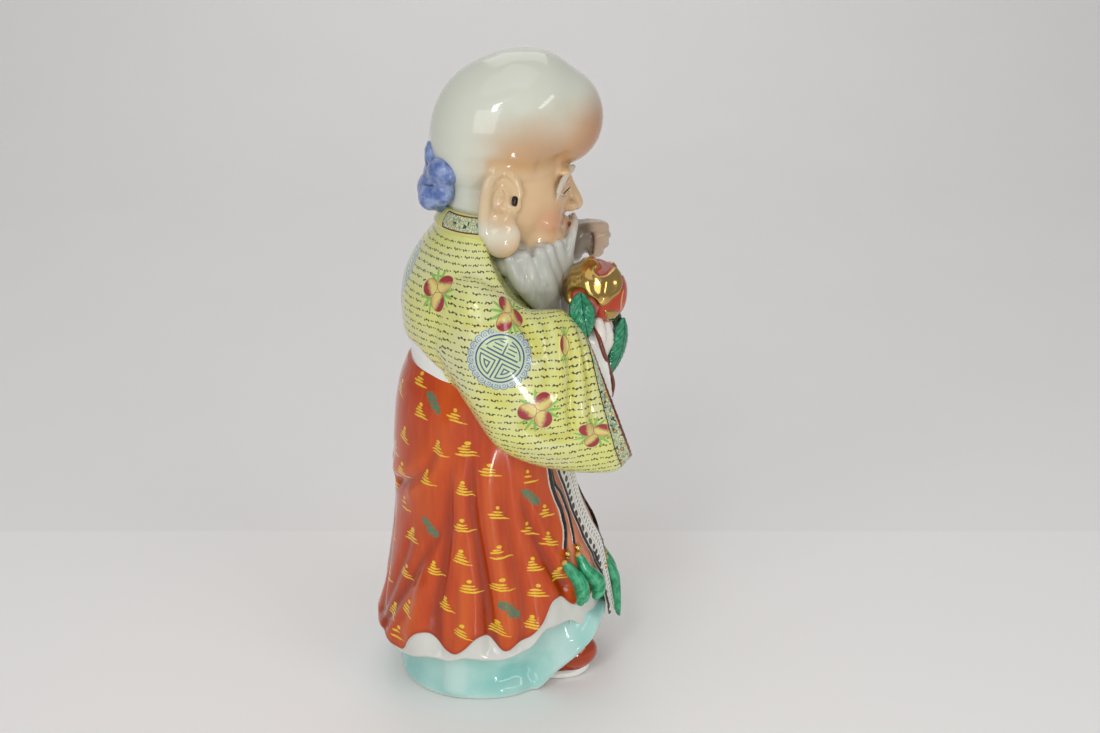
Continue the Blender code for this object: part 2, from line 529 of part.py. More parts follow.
# ---------------------------------------------------------------- folds
def strokes():
    """(path, half width, height) of each fold: a hollow has a negative height."""
    lines = []

    def on_sleeve(points, width, height):
        lines.append((smooth_path(points, 24), width, height))

    for m in (-1, 1):
        x = 76.0 * m
        on_sleeve([(0.80 * x, -27, 238), (0.93 * x, -30, 214), (0.93 * x, -40, 188), (0.86 * x, -54, 165)], 4.2, -2.6)
        on_sleeve([(0.80 * x, -36, 236), (0.88 * x, -42, 212), (0.86 * x, -52, 186), (0.78 * x, -65, 162)], 3.4, 1.8)
        on_sleeve([(0.78 * x, -41, 232), (0.84 * x, -47, 210), (0.80 * x, -58, 184), (0.72 * x, -71, 160)], 2.6, -1.5)
        on_sleeve([(0.82 * x, -14, 240), (0.95 * x, -18, 226), (0.99 * x, -12, 205)], 5.0, -1.8)
        on_sleeve([(0.93 * x, 20, 205), (0.97 * x, 0, 181), (0.92 * x, -24, 168), (0.86 * x, -46, 160)], 5.5, -1.7)
        on_sleeve([(0.80 * x, 30, 220), (0.88 * x, 22, 232), (0.86 * x, 12, 246)], 6.0, -1.4)

    def on_side(points, width, height):
        lines.append((np.array([on_skirt(d, z) for d, z in smooth_path(points, 26)]), width, height))

    for m, k in ((0, 1), (1, 0.95)):
        def deg(d):
            return (180 - d) % 360 if m else d
        on_side([(deg(170), 182), (deg(167), 140), (deg(166), 100), (deg(159), 60), (deg(156), 34)], 4.4, -3.0 * k)
        on_side([(deg(186), 150), (deg(184), 118), (deg(181), 84), (deg(180), 36)], 4.0, -3.0 * k)
        on_side([(deg(196), 140), (deg(198), 112), (deg(206), 84), (deg(218), 60)], 4.2, -2.8 * k)
        on_side([(deg(148), 150), (deg(146), 110), (deg(137), 70), (deg(130), 40)], 5.0, -3.6 * k)
        on_side([(deg(158), 168), (deg(142), 140), (deg(118), 122), (deg(96), 118)], 3.6, -2.2 * k)
        on_side([(deg(128), 120), (deg(122), 90), (deg(112), 60), (deg(108), 42)], 4.5, -2.2 * k)
        on_side([(deg(177), 170), (deg(175), 120), (deg(170), 76), (deg(169), 46)], 5.0, 1.8 * k)
        on_side([(deg(190), 140), (deg(192), 106), (deg(195), 74), (deg(200), 60)], 5.0, 1.8 * k)
        on_side([(deg(211), 128), (deg(213), 100), (deg(214), 74)], 4.0, 1.4 * k)
    on_side([(92, 112), (88, 80), (92, 48)], 6.0, 1.8)
    for m in (-1, 1):
        on_sleeve([(5 * m, -44, 308), (12 * m, -44, 308), (20 * m, -40, 307), (26 * m, -34, 304)], 4.6, -3.4)   # eye sockets
        on_sleeve([(4 * m, -46, 314), (13 * m, -46, 316), (24 * m, -38, 313)], 2.6, 1.6)                       # brows
        on_sleeve([(6 * m, -48, 291), (13 * m, -44, 286), (19 * m, -38, 278)], 2.4, -1.4)                     # smile folds
        on_sleeve([(39 * m, -4, 310), (39 * m, 1, 306), (39 * m, 1, 296), (39 * m, -3, 290)], 2.4, -2.4)       # ear shell
        on_sleeve([(34 * m, -14, 318), (38 * m, 0, 323), (36 * m, 16, 322)], 4.0, -1.0)                       # fold over the ear
    return lines


def press(points, normals, lines):
    """Moves the skin along its normals under each fold line."""
    out = points.copy()
    for path, width, height in lines:
        lo, hi = path.min(0) - 3 * width, path.max(0) + 3 * width
        near = np.where(((points > lo) & (points < hi)).all(1))[0]
        if not len(near):
            continue
        p = points[near]
        best = np.full(len(p), 1e9)
        share = np.zeros(len(p))
        count = len(path) - 1
        for i in range(count):
            a, b = path[i], path[i + 1]
            ab = b - a
            t = np.clip(((p - a) @ ab) / (ab @ ab), 0, 1)
            d = np.linalg.norm(p - (a + t[:, None] * ab), axis=1)
            closer = d < best
            best = np.where(closer, d, best)
            share = np.where(closer, (i + t) / count, share)
        fade = np.clip(np.minimum(share, 1 - share) / 0.22, 0, 1)
        out[near] += normals[near] * (height * np.exp(-((best / width) ** 2)) * ease(fade))[:, None]
    return out


# ---------------------------------------------------------------- assembly
def all_forms():
    forms = [underskirt(), skirt(), coat_body(), sleeve(RIGHT_SLEEVE), sleeve(LEFT_SLEEVE)]
    forms += [ellipsoid(*f, n=40) for f in HEAD_FORMS]
    forms += [tube(smooth_path([(0, -41.5, 309), (0, -44.0, 300), (0, -47.5, 292)], 8), np.linspace(2.8, 4.2, 8), sides=12)]
    forms += [ellipsoid((4.0 * side, -43.5, 290.5), (3.6, 4.6, 3.2), n=20) for side in (-1, 1)]
    for side in (-1, 1):
        forms += ear(side)
        forms += shoe(side)
    forms += beard_forms()
    forms.append(head_scarf())
    forms += right_hand()
    forms += left_hand()
    collar = [horizontal(z, s, f, b, n=64, power=2.1, middle=4.0) for z, s, f, b in (
        (279, 24, 12, 24), (281, 37.5, 22, 34.0), (285, 36.0, 22, 32.5), (292.0, 32.0, 19.5, 29.5), (294.5, 30.5, 18.0, 28.0), (293.5, 22, 12, 20))]
    forms.append(loft(collar))
    forms += peach_forms()
    forms += sash_forms()
    return forms


def joined(name, forms):
    mesh = bpy.data.meshes.new(name)
    verts, faces, start = [], [], 0
    for v, f in forms:
        v = np.asarray(v) * 0.001
        verts.extend(map(tuple, v))
        faces.extend(tuple(i + start for i in face) for face in f)
        start += len(v)
    mesh.from_pydata(verts, [], faces)
    obj = bpy.data.objects.new(name, mesh)
    bpy.context.scene.collection.objects.link(obj)
    return obj


def porcelain():
    material = bpy.data.materials.new("glazed porcelain")
    material.use_nodes = True
    shader = material.node_tree.nodes["Principled BSDF"]
    shader.inputs["Base Color"].default_value = BODY_COLOUR
    shader.inputs["Roughness"].default_value = 0.15
    shader.inputs["Metallic"].default_value = 0.0
    return material


def main():
    for obj in list(bpy.data.objects):
        bpy.data.objects.remove(obj)

    clay = joined("clay", all_forms())
    fuse = clay.modifiers.new("Fuse", "REMESH")
    fuse.mode = "VOXEL"
    fuse.voxel_size = VOXEL * 0.001
    soften = clay.modifiers.new("Soften", "SMOOTH")
    soften.factor = 0.5
    soften.iterations = 3

    graph = bpy.context.evaluated_depsgraph_get()
    skin = bpy.data.meshes.new_from_object(clay.evaluated_get(graph), depsgraph=graph)
    count = len(skin.vertices)
    co, no = np.empty(count * 3), np.empty(count * 3)
    skin.vertices.foreach_get("co", co)
    skin.vertex_normals.foreach_get("vector", no)
    co = press(co.reshape(-1, 3) * 1000, no.reshape(-1, 3), strokes()) * 0.001
    skin.vertices.foreach_set("co", co.ravel())
    skin.update()
    bpy.data.objects.remove(clay)

    bm = bmesh.new()
    bm.from_mesh(skin)
    bmesh.ops.triangulate(bm, faces=bm.faces)
    bm.to_mesh(skin)
    bm.free()

    figurine = bpy.data.objects.new("figurine", skin)
    bpy.context.scene.collection.objects.link(figurine)
    reduce = figurine.modifiers.new("Facets", "DECIMATE")
    reduce.ratio = TARGET_TRIANGLES / max(1, len(skin.polygons))

    # The foot is ground flat on the table plane.
    bm = bmesh.new()
    bmesh.ops.create_cube(bm, size=1.0)
    bmesh.ops.transform(bm, matrix=Matrix.Translation((0, 0, -0.02)) @ Matrix.Diagonal((0.4, 0.4, 0.04, 1)), verts=bm.verts)
    ground = bpy.data.meshes.new("table plane")
    bm.to_mesh(ground)
    bm.free()
    cutter = bpy.data.objects.new("table_plane", ground)
    bpy.context.scene.collection.objects.link(cutter)
    cutter.hide_render = True
    cutter.display_type = "WIRE"
    grind = figurine.modifiers.new("Ground flat", "BOOLEAN")
    grind.operation = "DIFFERENCE"
    grind.object = cutter

    skin.materials.append(porcelain())
    skin.shade_smooth()
    skin.set_sharp_from_angle(angle=math.radians(40))


main()
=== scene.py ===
"""Visual model of a glazed porcelain longevity deity, painted in overglaze enamels.

The figure faces -Y with its left hand towards +X and stands on z = 0. Named
sizes are millimetres; meshes are written in metres. Carving is lofted, fused
by voxel remeshing and pressed with fold lines. All painting is procedural:
node materials read measured fields and coordinates kept on the meshes.
"""
import math

import bmesh
import bpy
import numpy as np
from mathutils import Matrix, Vector
from mathutils.bvhtree import BVHTree


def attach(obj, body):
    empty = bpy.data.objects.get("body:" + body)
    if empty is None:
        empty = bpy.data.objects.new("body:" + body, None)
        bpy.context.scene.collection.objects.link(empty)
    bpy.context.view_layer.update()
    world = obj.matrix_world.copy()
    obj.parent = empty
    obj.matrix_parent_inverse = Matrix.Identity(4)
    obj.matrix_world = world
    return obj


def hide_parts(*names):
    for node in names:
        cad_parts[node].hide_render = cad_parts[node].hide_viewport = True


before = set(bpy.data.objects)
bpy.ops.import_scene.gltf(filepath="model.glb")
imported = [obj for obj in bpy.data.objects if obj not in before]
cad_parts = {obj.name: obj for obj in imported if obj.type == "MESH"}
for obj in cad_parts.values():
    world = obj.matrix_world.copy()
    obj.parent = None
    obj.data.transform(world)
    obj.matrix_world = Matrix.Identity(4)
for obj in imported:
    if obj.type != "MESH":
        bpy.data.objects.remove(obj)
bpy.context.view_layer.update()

MM = 0.001
scene = bpy.context.scene


# ================================================================ small maths
def smooth_curve(xs, ys, x):
    """Monotone cubic through stations, with no overshoot between them."""
    xs, ys = np.asarray(xs, float), np.asarray(ys, float)
    x = np.clip(np.asarray(x, float), xs[0], xs[-1])
    h, d = np.diff(xs), np.diff(ys) / np.diff(xs)
    m = np.empty(len(xs))
    m[0], m[-1] = d[0], d[-1]
    for i in range(1, len(xs) - 1):
        if d[i - 1] * d[i] <= 0:
            m[i] = 0.0
        else:
            w1, w2 = 2 * h[i] + h[i - 1], h[i] + 2 * h[i - 1]
            m[i] = (w1 + w2) / (w1 / d[i - 1] + w2 / d[i])
    k = np.clip(np.searchsorted(xs, x, side="right") - 1, 0, len(xs) - 2)
    t = (x - xs[k]) / h[k]
    return (
        ys[k] * (1 + 2 * t) * (1 - t) ** 2
        + h[k] * m[k] * t * (1 - t) ** 2
        + ys[k + 1] * t * t * (3 - 2 * t)
        + h[k] * m[k + 1] * t * t * (t - 1)
    )


def smooth_path(points, n):
    """n points along a smooth curve through the given ones."""
    points = np.asarray(points, float)
    s = np.concatenate([[0], np.cumsum(np.linalg.norm(np.diff(points, axis=0), axis=1))])
    t = np.linspace(0, s[-1], n)
    m = np.gradient(points, s, axis=0)
    k = np.clip(np.searchsorted(s, t, side="right") - 1, 0, len(s) - 2)
    h = (s[k + 1] - s[k])[:, None]
    u = ((t - s[k]) / h[:, 0])[:, None]
    return (
        points[k] * (1 + 2 * u) * (1 - u) ** 2
        + h * m[k] * u * (1 - u) ** 2
        + points[k + 1] * u * u * (3 - 2 * u)
        + h * m[k + 1] * u * u * (u - 1)
    )


def ease(x):
    x = np.clip(x, 0, 1)
    return x * x * (3 - 2 * x)


def around(stations, a):
    """Smooth function of the angle round the figure, from (degrees, value) stations."""
    d = np.array([s[0] for s in stations], float)
    v = np.array([s[1] for s in stations], float)
    d = np.concatenate([d - 360, d, d + 360])
    return smooth_curve(d, np.tile(v, 3), np.degrees(a) % 360)


def distance_to(points, path):
    """Distance of points to a polyline, and the share of its length at the nearest place."""
    path = np.asarray(path, float)
    best = np.full(len(points), 1e9)
    share = np.zeros(len(points))
    count = len(path) - 1
    for i in range(count):
        a, ab = path[i], path[i + 1] - path[i]
        t = np.clip(((points - a) @ ab) / (ab @ ab), 0, 1)
        d = np.linalg.norm(points - (a + t[:, None] * ab), axis=1)
        closer = d < best
        best = np.where(closer, d, best)
        share = np.where(closer, (i + t) / count, share)
    return best, share


# ================================================================ forms
def loft(rings):
    """Closed mesh through equal rings, its two ends filled to their middles."""
    rings = np.asarray(rings, float)
    n, m, _ = rings.shape
    verts = np.concatenate([rings.reshape(-1, 3), rings[:1].mean(1), rings[-1:].mean(1)])
    faces = []
    for i in range(n - 1):
        for j in range(m):
            k = (j + 1) % m
            faces.append((i * m + j, i * m + k, (i + 1) * m + k, (i + 1) * m + j))
    low, high, last = n * m, n * m + 1, (n - 1) * m
    for j in range(m):
        k = (j + 1) % m
        faces.append((low, k, j))
        faces.append((high, last + j, last + k))
    return verts, faces


def tube_rings(path, radii, sides=16, flat=1.0, normal=None):
    path = np.asarray(path, float)
    radii = np.broadcast_to(np.asarray(radii, float), (len(path),)).copy()
    tangent = np.gradient(path, axis=0)
    tangent /= np.linalg.norm(tangent, axis=1)[:, None]
    n0 = np.array(normal if normal is not None else (0.0, 0.0, 1.0), float)
    if abs(tangent[0] @ n0) > 0.95 * np.linalg.norm(n0):
        n0 = np.array((0.0, 1.0, 0.0))
    a = 2 * np.pi * np.arange(sides) / sides
    rings = []

    def ring(p, t, r):
        n = n0 - t * (n0 @ t)
        n /= np.linalg.norm(n)
        b = np.cross(t, n)
        return p + r * (np.outer(np.cos(a), b) + flat * np.outer(np.sin(a), n))

    for q in (0.1, 0.35, 0.75):
        rings.append(ring(path[0] - tangent[0] * radii[0] * flat * (1 - q), tangent[0], radii[0] * math.sqrt(1 - (1 - q) ** 2)))
    for p, t, r in zip(path, tangent, radii):
        rings.append(ring(p, t, r))
    for q in (0.75, 0.35, 0.1):
        rings.append(ring(path[-1] + tangent[-1] * radii[-1] * flat * (1 - q), tangent[-1], radii[-1] * math.sqrt(1 - (1 - q) ** 2)))
    return np.array(rings)


def tube(*args, **kw):
    """Round or flattened tube along a path, with rounded ends."""
    return loft(tube_rings(*args, **kw))


def ellipsoid(centre, radii, turn=(0, 0, 0), n=40):
    """Ball with three half-sizes, turned by degrees about X, Y and Z."""
    bm = bmesh.new()
    bmesh.ops.create_uvsphere(bm, u_segments=n, v_segments=n // 2, radius=1.0)
    rx, ry, rz = (Matrix.Rotation(math.radians(d), 4, ax) for d, ax in zip(turn, "XYZ"))
    bmesh.ops.transform(
        bm,
        matrix=Matrix.Translation(Vector(centre)) @ rz @ ry @ rx @ Matrix.Diagonal((*radii, 1.0)),
        verts=bm.verts,
    )
    bm.verts.index_update()
    shape = np.array([v.co[:] for v in bm.verts]), [tuple(v.index for v in f.verts) for f in bm.faces]
    bm.free()
    return shape


def horizontal(z, half_width, front, back, centre_x=0.0, n=96, power=2.0, middle=0.0):
    """Egg-shaped level ring. Angle 0 is the figure's left, 90 degrees its back."""
    a = 2 * np.pi * np.arange(n) / n
    c, s = np.cos(a), np.sin(a)
    q = 2.0 / power
    x = centre_x + half_width * np.sign(c) * np.abs(c) ** q
    depth = np.where(s > 0, back - middle, front + middle)
    y = middle + depth * np.sign(s) * np.abs(s) ** q
    return np.stack([x, y, np.broadcast_to(z, x.shape)], 1)


# ================================================================ mesh work
def gather(forms):
    verts, faces, start = [], [], 0
    for v, f in forms:
        verts.append(np.asarray(v, float))
        faces.extend(tuple(i + start for i in face) for face in f)
        start += len(v)
    return np.concatenate(verts), faces


def plain_mesh(name, verts, faces):
    mesh = bpy.data.meshes.new(name)
    mesh.from_pydata([tuple(v) for v in np.asarray(verts) * MM], [], [tuple(f) for f in faces])
    return mesh


def fused(name, forms, voxel, soften=6):
    """Forms run together into one skin: returns points in mm and four-cornered faces."""
    mesh = plain_mesh(name + "_clay", *gather(forms))
    obj = bpy.data.objects.new(name + "_clay", mesh)
    scene.collection.objects.link(obj)
    fuse = obj.modifiers.new("Fuse", "REMESH")
    fuse.mode = "VOXEL"
    fuse.voxel_size = voxel * MM
    calm = obj.modifiers.new("Soften", "SMOOTH")
    calm.factor = 0.5
    calm.iterations = soften
    graph = bpy.context.evaluated_depsgraph_get()
    skin = bpy.data.meshes.new_from_object(obj.evaluated_get(graph), depsgraph=graph)
    co = np.empty(len(skin.vertices) * 3)
    skin.vertices.foreach_get("co", co)
    loops = np.empty(len(skin.loops), int)
    skin.loops.foreach_get("vertex_index", loops)
    faces = loops.reshape(-1, 4)
    bpy.data.objects.remove(obj)
    bpy.data.meshes.remove(mesh)
    bpy.data.meshes.remove(skin)
    return co.reshape(-1, 3) / MM, faces


def normals_of(verts, faces):
    f = np.asarray(faces)
    a = verts[f[:, 2]] - verts[f[:, 0]]
    b = verts[f[:, -1]] - verts[f[:, 1]]
    fn = np.cross(a, b)
    n = np.zeros_like(verts)
    for k in range(f.shape[1]):
        np.add.at(n, f[:, k], fn)
    return n / np.maximum(np.linalg.norm(n, axis=1), 1e-12)[:, None]


def calmed(verts, faces, rounds, share=0.5, where=None):
    """Smoothed copy of the points; where limits it with a 0 to 1 weight."""
    f = np.asarray(faces)
    pairs = np.concatenate([np.stack([f[:, k], f[:, (k + 1) % f.shape[1]]], 1) for k in range(f.shape[1])])
    count = np.bincount(pairs[:, 0], minlength=len(verts)) + np.bincount(pairs[:, 1], minlength=len(verts))
    out = verts.copy()
    for _ in range(rounds):
        total = np.stack([
            np.bincount(pairs[:, 0], out[pairs[:, 1], k], len(verts)) + np.bincount(pairs[:, 1], out[pairs[:, 0], k], len(verts))
            for k in range(3)], 1)
        step = share * (total / np.maximum(count, 1)[:, None] - out)
        out = out + (step if where is None else step * where[:, None])
    return out


def press(points, normals, lines):
    """Moves the skin along its normals under each fold line, and returns how far too."""
    moved = np.zeros(len(points))
    for path, width, height in lines:
        path = np.asarray(path, float)
        lo, hi = path.min(0) - 3 * width, path.max(0) + 3 * width
        near = np.where(((points > lo) & (points < hi)).all(1))[0]
        if not len(near):
            continue
        best, share = distance_to(points[near], path)
        fade = np.clip(np.minimum(share, 1 - share) / 0.22, 0, 1)
        moved[near] += height * np.exp(-((best / width) ** 2)) * ease(fade)
    return points + normals * moved[:, None], moved


def piece(name, verts, faces, material, uvs=None, fields=None, fields_scale=None):
    """Finished object riding on the CAD body in place of its solid."""
    verts = np.array(verts, float)
    verts[:, 1] = np.maximum(verts[:, 1], -75.5)
    mesh = plain_mesh(name, verts, faces)
    for key, values in (uvs or {}).items():
        layer = mesh.uv_layers.new(name=key)
        layer.data.foreach_set("uv", np.asarray(values, np.float32).ravel())
    for key, values in (fields or {}).items():
        at = mesh.attributes.new(key, "FLOAT", "POINT")
        at.data.foreach_set("value", np.asarray(values, np.float32))
    mesh.materials.append(material)
    mesh.shade_smooth()
    obj = bpy.data.objects.new(name, mesh)
    scene.collection.objects.link(obj)
    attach(obj, "root")
    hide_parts("figurine")
    return obj


def corners(faces):
    """Vertex of every face corner, in loop order."""
    return np.concatenate([np.asarray(f) for f in faces]) if not isinstance(faces, np.ndarray) else faces.ravel()


# ================================================================ node painting
class Paint:
    """Writes sums on node sockets as ordinary arithmetic."""

    def __init__(self, tree, socket):
        self.tree, self.socket = tree, socket

    def _math(self, op, *others, clamp=False):
        node = self.tree.nodes.new("ShaderNodeMath")
        node.operation = op
        node.use_clamp = clamp
        for i, v in enumerate((self, *others)):
            if isinstance(v, Paint):
                self.tree.links.new(v.socket, node.inputs[i])
            else:
                node.inputs[i].default_value = float(v)
        return Paint(self.tree, node.outputs[0])

    def _swap(self, op, other):
        node = self.tree.nodes.new("ShaderNodeMath")
        node.operation = op
        node.inputs[0].default_value = float(other)
        self.tree.links.new(self.socket, node.inputs[1])
        return Paint(self.tree, node.outputs[0])

    def __add__(self, o): return self._math("ADD", o)
    __radd__ = __add__
    def __sub__(self, o): return self._math("SUBTRACT", o)
    def __rsub__(self, o): return self._swap("SUBTRACT", o)
    def __mul__(self, o): return self._math("MULTIPLY", o)
    __rmul__ = __mul__
    def __truediv__(self, o): return self._math("DIVIDE", o)
    def __neg__(self): return self._math("MULTIPLY", -1)
    def __abs__(self): return self._math("ABSOLUTE")
    def sin(self): return self._math("SINE")
    def cos(self): return self._math("COSINE")
    def sqrt(self): return self._math("SQRT")
    def floor(self): return self._math("FLOOR")
    def fract(self): return self._math("FRACT")
    def min(self, o): return self._math("MINIMUM", o)
    def max(self, o): return self._math("MAXIMUM", o)
    def power(self, o): return self._math("POWER", o)
    def below(self, o): return self._math("LESS_THAN", o)
    def above(self, o): return self._math("GREATER_THAN", o)
    def atan2(self, o): return self._math("ARCTAN2", o)
    def clip(self): return self._math("ADD", 0.0, clamp=True)
    def wrap(self, lo, hi): return self._math("WRAP", hi, lo)

    def rise(self, a, b):
        """0 at a to 1 at b, eased; falls when a is the greater."""
        node = self.tree.nodes.new("ShaderNodeMapRange")
        node.interpolation_type = "SMOOTHSTEP"
        self.tree.links.new(self.socket, node.inputs["Value"])
        node.inputs["From Min"].default_value = a
        node.inputs["From Max"].default_value = b
        return Paint(self.tree, node.outputs[0])

    def line(self, half, soft=0.10):
        """1 where this distance is under half, with a soft edge."""
        return abs(self).rise(half + soft, max(half - soft, 0.0))


class Glaze:
    """One node material: a Principled surface under a clear glossy glaze."""

    def __init__(self, name, roughness=0.14, metallic=0.0, coat=0.0, subsurface=0.0, ior=1.5):
        self.material = bpy.data.materials.new(name)
        self.material.use_nodes = True
        self.tree = self.material.node_tree
        self.shader = self.tree.nodes["Principled BSDF"]
        self.shader.inputs["Roughness"].default_value = roughness
        self.shader.inputs["Metallic"].default_value = metallic
        self.shader.inputs["IOR"].default_value = ior
        self.shader.inputs["Specular IOR Level"].default_value = 0.28
        if coat:
            self.shader.inputs["Coat Weight"].default_value = coat
            self.shader.inputs["Coat Roughness"].default_value = 0.04
        self._place = None
        self._held = {}

    def field(self, name):
        if name not in self._held:
            node = self.tree.nodes.new("ShaderNodeAttribute")
            node.attribute_name = name
            self._held[name] = Paint(self.tree, node.outputs["Fac"])
        return self._held[name]

    def uv(self, name):
        key = "uv:" + name
        if key not in self._held:
            node = self.tree.nodes.new("ShaderNodeUVMap")
            node.uv_map = name
            split = self.tree.nodes.new("ShaderNodeSeparateXYZ")
            self.tree.links.new(node.outputs[0], split.inputs[0])
            self._held[key] = (Paint(self.tree, split.outputs[0]), Paint(self.tree, split.outputs[1]))
        return self._held[key]

    def place(self):
        if self._place is None:
            self._place = self.tree.nodes.new("ShaderNodeTexCoord").outputs["Object"]
        return self._place

    def xyz(self):
        if "xyz" not in self._held:
            split = self.tree.nodes.new("ShaderNodeSeparateXYZ")
            self.tree.links.new(self.place(), split.inputs[0])
            self._held["xyz"] = tuple(Paint(self.tree, split.outputs[i]) * 1000.0 for i in range(3))
        return self._held["xyz"]

    def join(self, x, y, z=0.0):
        node = self.tree.nodes.new("ShaderNodeCombineXYZ")
        for i, v in enumerate((x, y, z)):
            if isinstance(v, Paint):
                self.tree.links.new(v.socket, node.inputs[i])
            else:
                node.inputs[i].default_value = float(v)
        return node.outputs[0]

    def noise(self, size, detail=2.0, vector=None, stretch=None, rough=0.5):
        """Soft random field, size in mm."""
        node = self.tree.nodes.new("ShaderNodeTexNoise")
        node.inputs["Scale"].default_value = 1000.0 / size if vector is None else 1.0 / size
        node.inputs["Detail"].default_value = detail
        node.inputs["Roughness"].default_value = rough
        source = vector if vector is not None else self.place()
        if stretch is not None:
            mapping = self.tree.nodes.new("ShaderNodeMapping")
            mapping.inputs["Scale"].default_value = stretch
            self.tree.links.new(source, mapping.inputs["Vector"])
            source = mapping.outputs[0]
        self.tree.links.new(source, node.inputs["Vector"])
        return Paint(self.tree, node.outputs["Fac"] if "Fac" in node.outputs else node.outputs[0])

    def random(self, x, y, z=0.0):
        """Repeatable random number from whole-number coordinates."""
        node = self.tree.nodes.new("ShaderNodeTexWhiteNoise")
        node.noise_dimensions = "3D"
        self.tree.links.new(self.join(x, y, z), node.inputs["Vector"])
        return Paint(self.tree, node.outputs["Value"])

    def colour(self, rgb):
        node = self.tree.nodes.new("ShaderNodeRGB")
        node.outputs[0].default_value = (*linear(rgb), 1.0)
        return node.outputs[0]

    def mix(self, share, a, b):
        """Colour a where share is 0, b where it's 1. Colours are sockets or 0-255 triples."""
        node = self.tree.nodes.new("ShaderNodeMix")
        node.data_type = "RGBA"
        node.clamp_factor = True
        self._set(node.inputs["Factor"], share)
        ins = [s for s in node.inputs if s.type == "RGBA"]
        self._set(ins[0], a)
        self._set(ins[1], b)
        return [s for s in node.outputs if s.type == "RGBA"][0]

    def _set(self, socket, value):
        if isinstance(value, Paint):
            self.tree.links.new(value.socket, socket)
        elif isinstance(value, bpy.types.NodeSocket):
            self.tree.links.new(value, socket)
        elif isinstance(value, tuple):
            socket.default_value = (*linear(value), 1.0)
        else:
            socket.default_value = value

    def base(self, colour):
        self._set(self.shader.inputs["Base Color"], colour)

    def rough(self, value):
        self._set(self.shader.inputs["Roughness"], value)

    def metal(self, value):
        self._set(self.shader.inputs["Metallic"], value)

    def bump(self, height, distance=0.1, strength=1.0):
        """Relief of a height field, distance in mm."""
        node = self.tree.nodes.new("ShaderNodeBump")
        node.inputs["Distance"].default_value = distance * MM
        node.inputs["Strength"].default_value = strength
        self.tree.links.new(height.socket, node.inputs["Height"])
        self.tree.links.new(node.outputs[0], self.shader.inputs["Normal"])


def linear(rgb):
    c = np.asarray(rgb, float) / 255.0
    return tuple(np.where(c <= 0.04045, c / 12.92, ((c + 0.055) / 1.055) ** 2.4))


def disc(g, x, y, cx, cy, rx, ry, turn=0.0):
    """Normalised radius of an ellipse: 1 on its outline."""
    dx, dy = x - cx, y - cy
    if turn:
        c, s = math.cos(math.radians(turn)), math.sin(math.radians(turn))
        dx, dy = dx * c + dy * s, dy * c - dx * s
    return ((dx / rx) * (dx / rx) + (dy / ry) * (dy / ry)).sqrt(), dx / rx, dy / ry


# ================================================================ skirt
WAVE = [  # height of the orange hem's rippled edge round the figure
    (0, 31), (10, 41), (24, 31), (40, 50), (50, 36), (66, 45), (90, 38.5), (112, 46),
    (130, 36), (140, 52), (156, 30.5), (170, 40.5), (180, 31), (195, 43), (205, 61),
    (211, 67), (220, 58), (238, 64), (256, 60), (284, 60), (302, 64), (320, 58),
    (329, 67), (336, 60), (348, 42),
]
HEM = [  # height of the smooth white edge below it
    (0, 31.5), (15, 33), (24, 30), (35, 31), (47, 28), (57, 27.5), (68, 32), (90, 34), (112, 32), (123, 27.5), (133, 28), (145, 31),
    (156, 30), (165, 33), (180, 31.5), (195, 36), (208, 47), (222, 47), (240, 33), (270, 25.5), (300, 33), (318, 47), (332, 47), (345, 36),
]
SKIRT_Z = [25, 31, 38.5, 44, 57, 78, 98, 117, 150, 169, 188, 203, 216]
SKIRT_BACK = [77.3, 77.3, 76.8, 75.4, 71.6, 67.4, 64.3, 62.2, 62, 60.7, 57.6, 52.0, 45]
SKIRT_FRONT = [64.5, 64, 63, 62, 60.5, 58.5, 54, 46.5, 39.5, 37.5, 36, 35, 34]
SKIRT_SIDE = [64, 64, 63.5, 62.5, 60, 57, 55, 54, 53, 52, 50, 47.5, 44]
WAIST = [(0, 199), (30, 201), (38, 202.5), (60, 203), (90, 203.2), (120, 203), (142, 202.5),
         (150, 201), (180, 199), (225, 192), (270, 190), (315, 192)]   # top edge of the skirt
EDGE = [  # height of the painted orange edge over the white lining
    (0.5, 42.5), (5, 47.8), (8.5, 47.8), (14.5, 40.2), (21, 35.8), (27, 38.8), (31.5, 44), (34, 48.5), (38.5, 47.8),
    (45, 41), (50, 31.6), (59, 33.5), (70, 37.2), (79, 36.8), (90, 39.5), (101, 36.8), (110, 37.2), (121, 33.5),
    (130, 31.6), (135, 41), (141.5, 47.8), (146, 48.5), (148.5, 44), (153, 38.8), (159, 35.8), (165.5, 40.2), (171.5, 47.8),
    (175, 47.8), (179.5, 42.5), (183, 38), (193, 43.2), (201.5, 50.8), (205.5, 57.5), (209, 65.8), (215, 65.8), (223.5, 58.2),
    (229.4, 56.5), (238, 60), (256, 60), (284, 60), (302, 60), (310.6, 56.5), (316.5, 58.2), (325, 65.8), (331, 65.8),
    (334.5, 57.5), (338.5, 50.8), (347, 43.2), (357, 38),
]
AROUND = 62.0      # mean radius used to turn degrees into millimetres

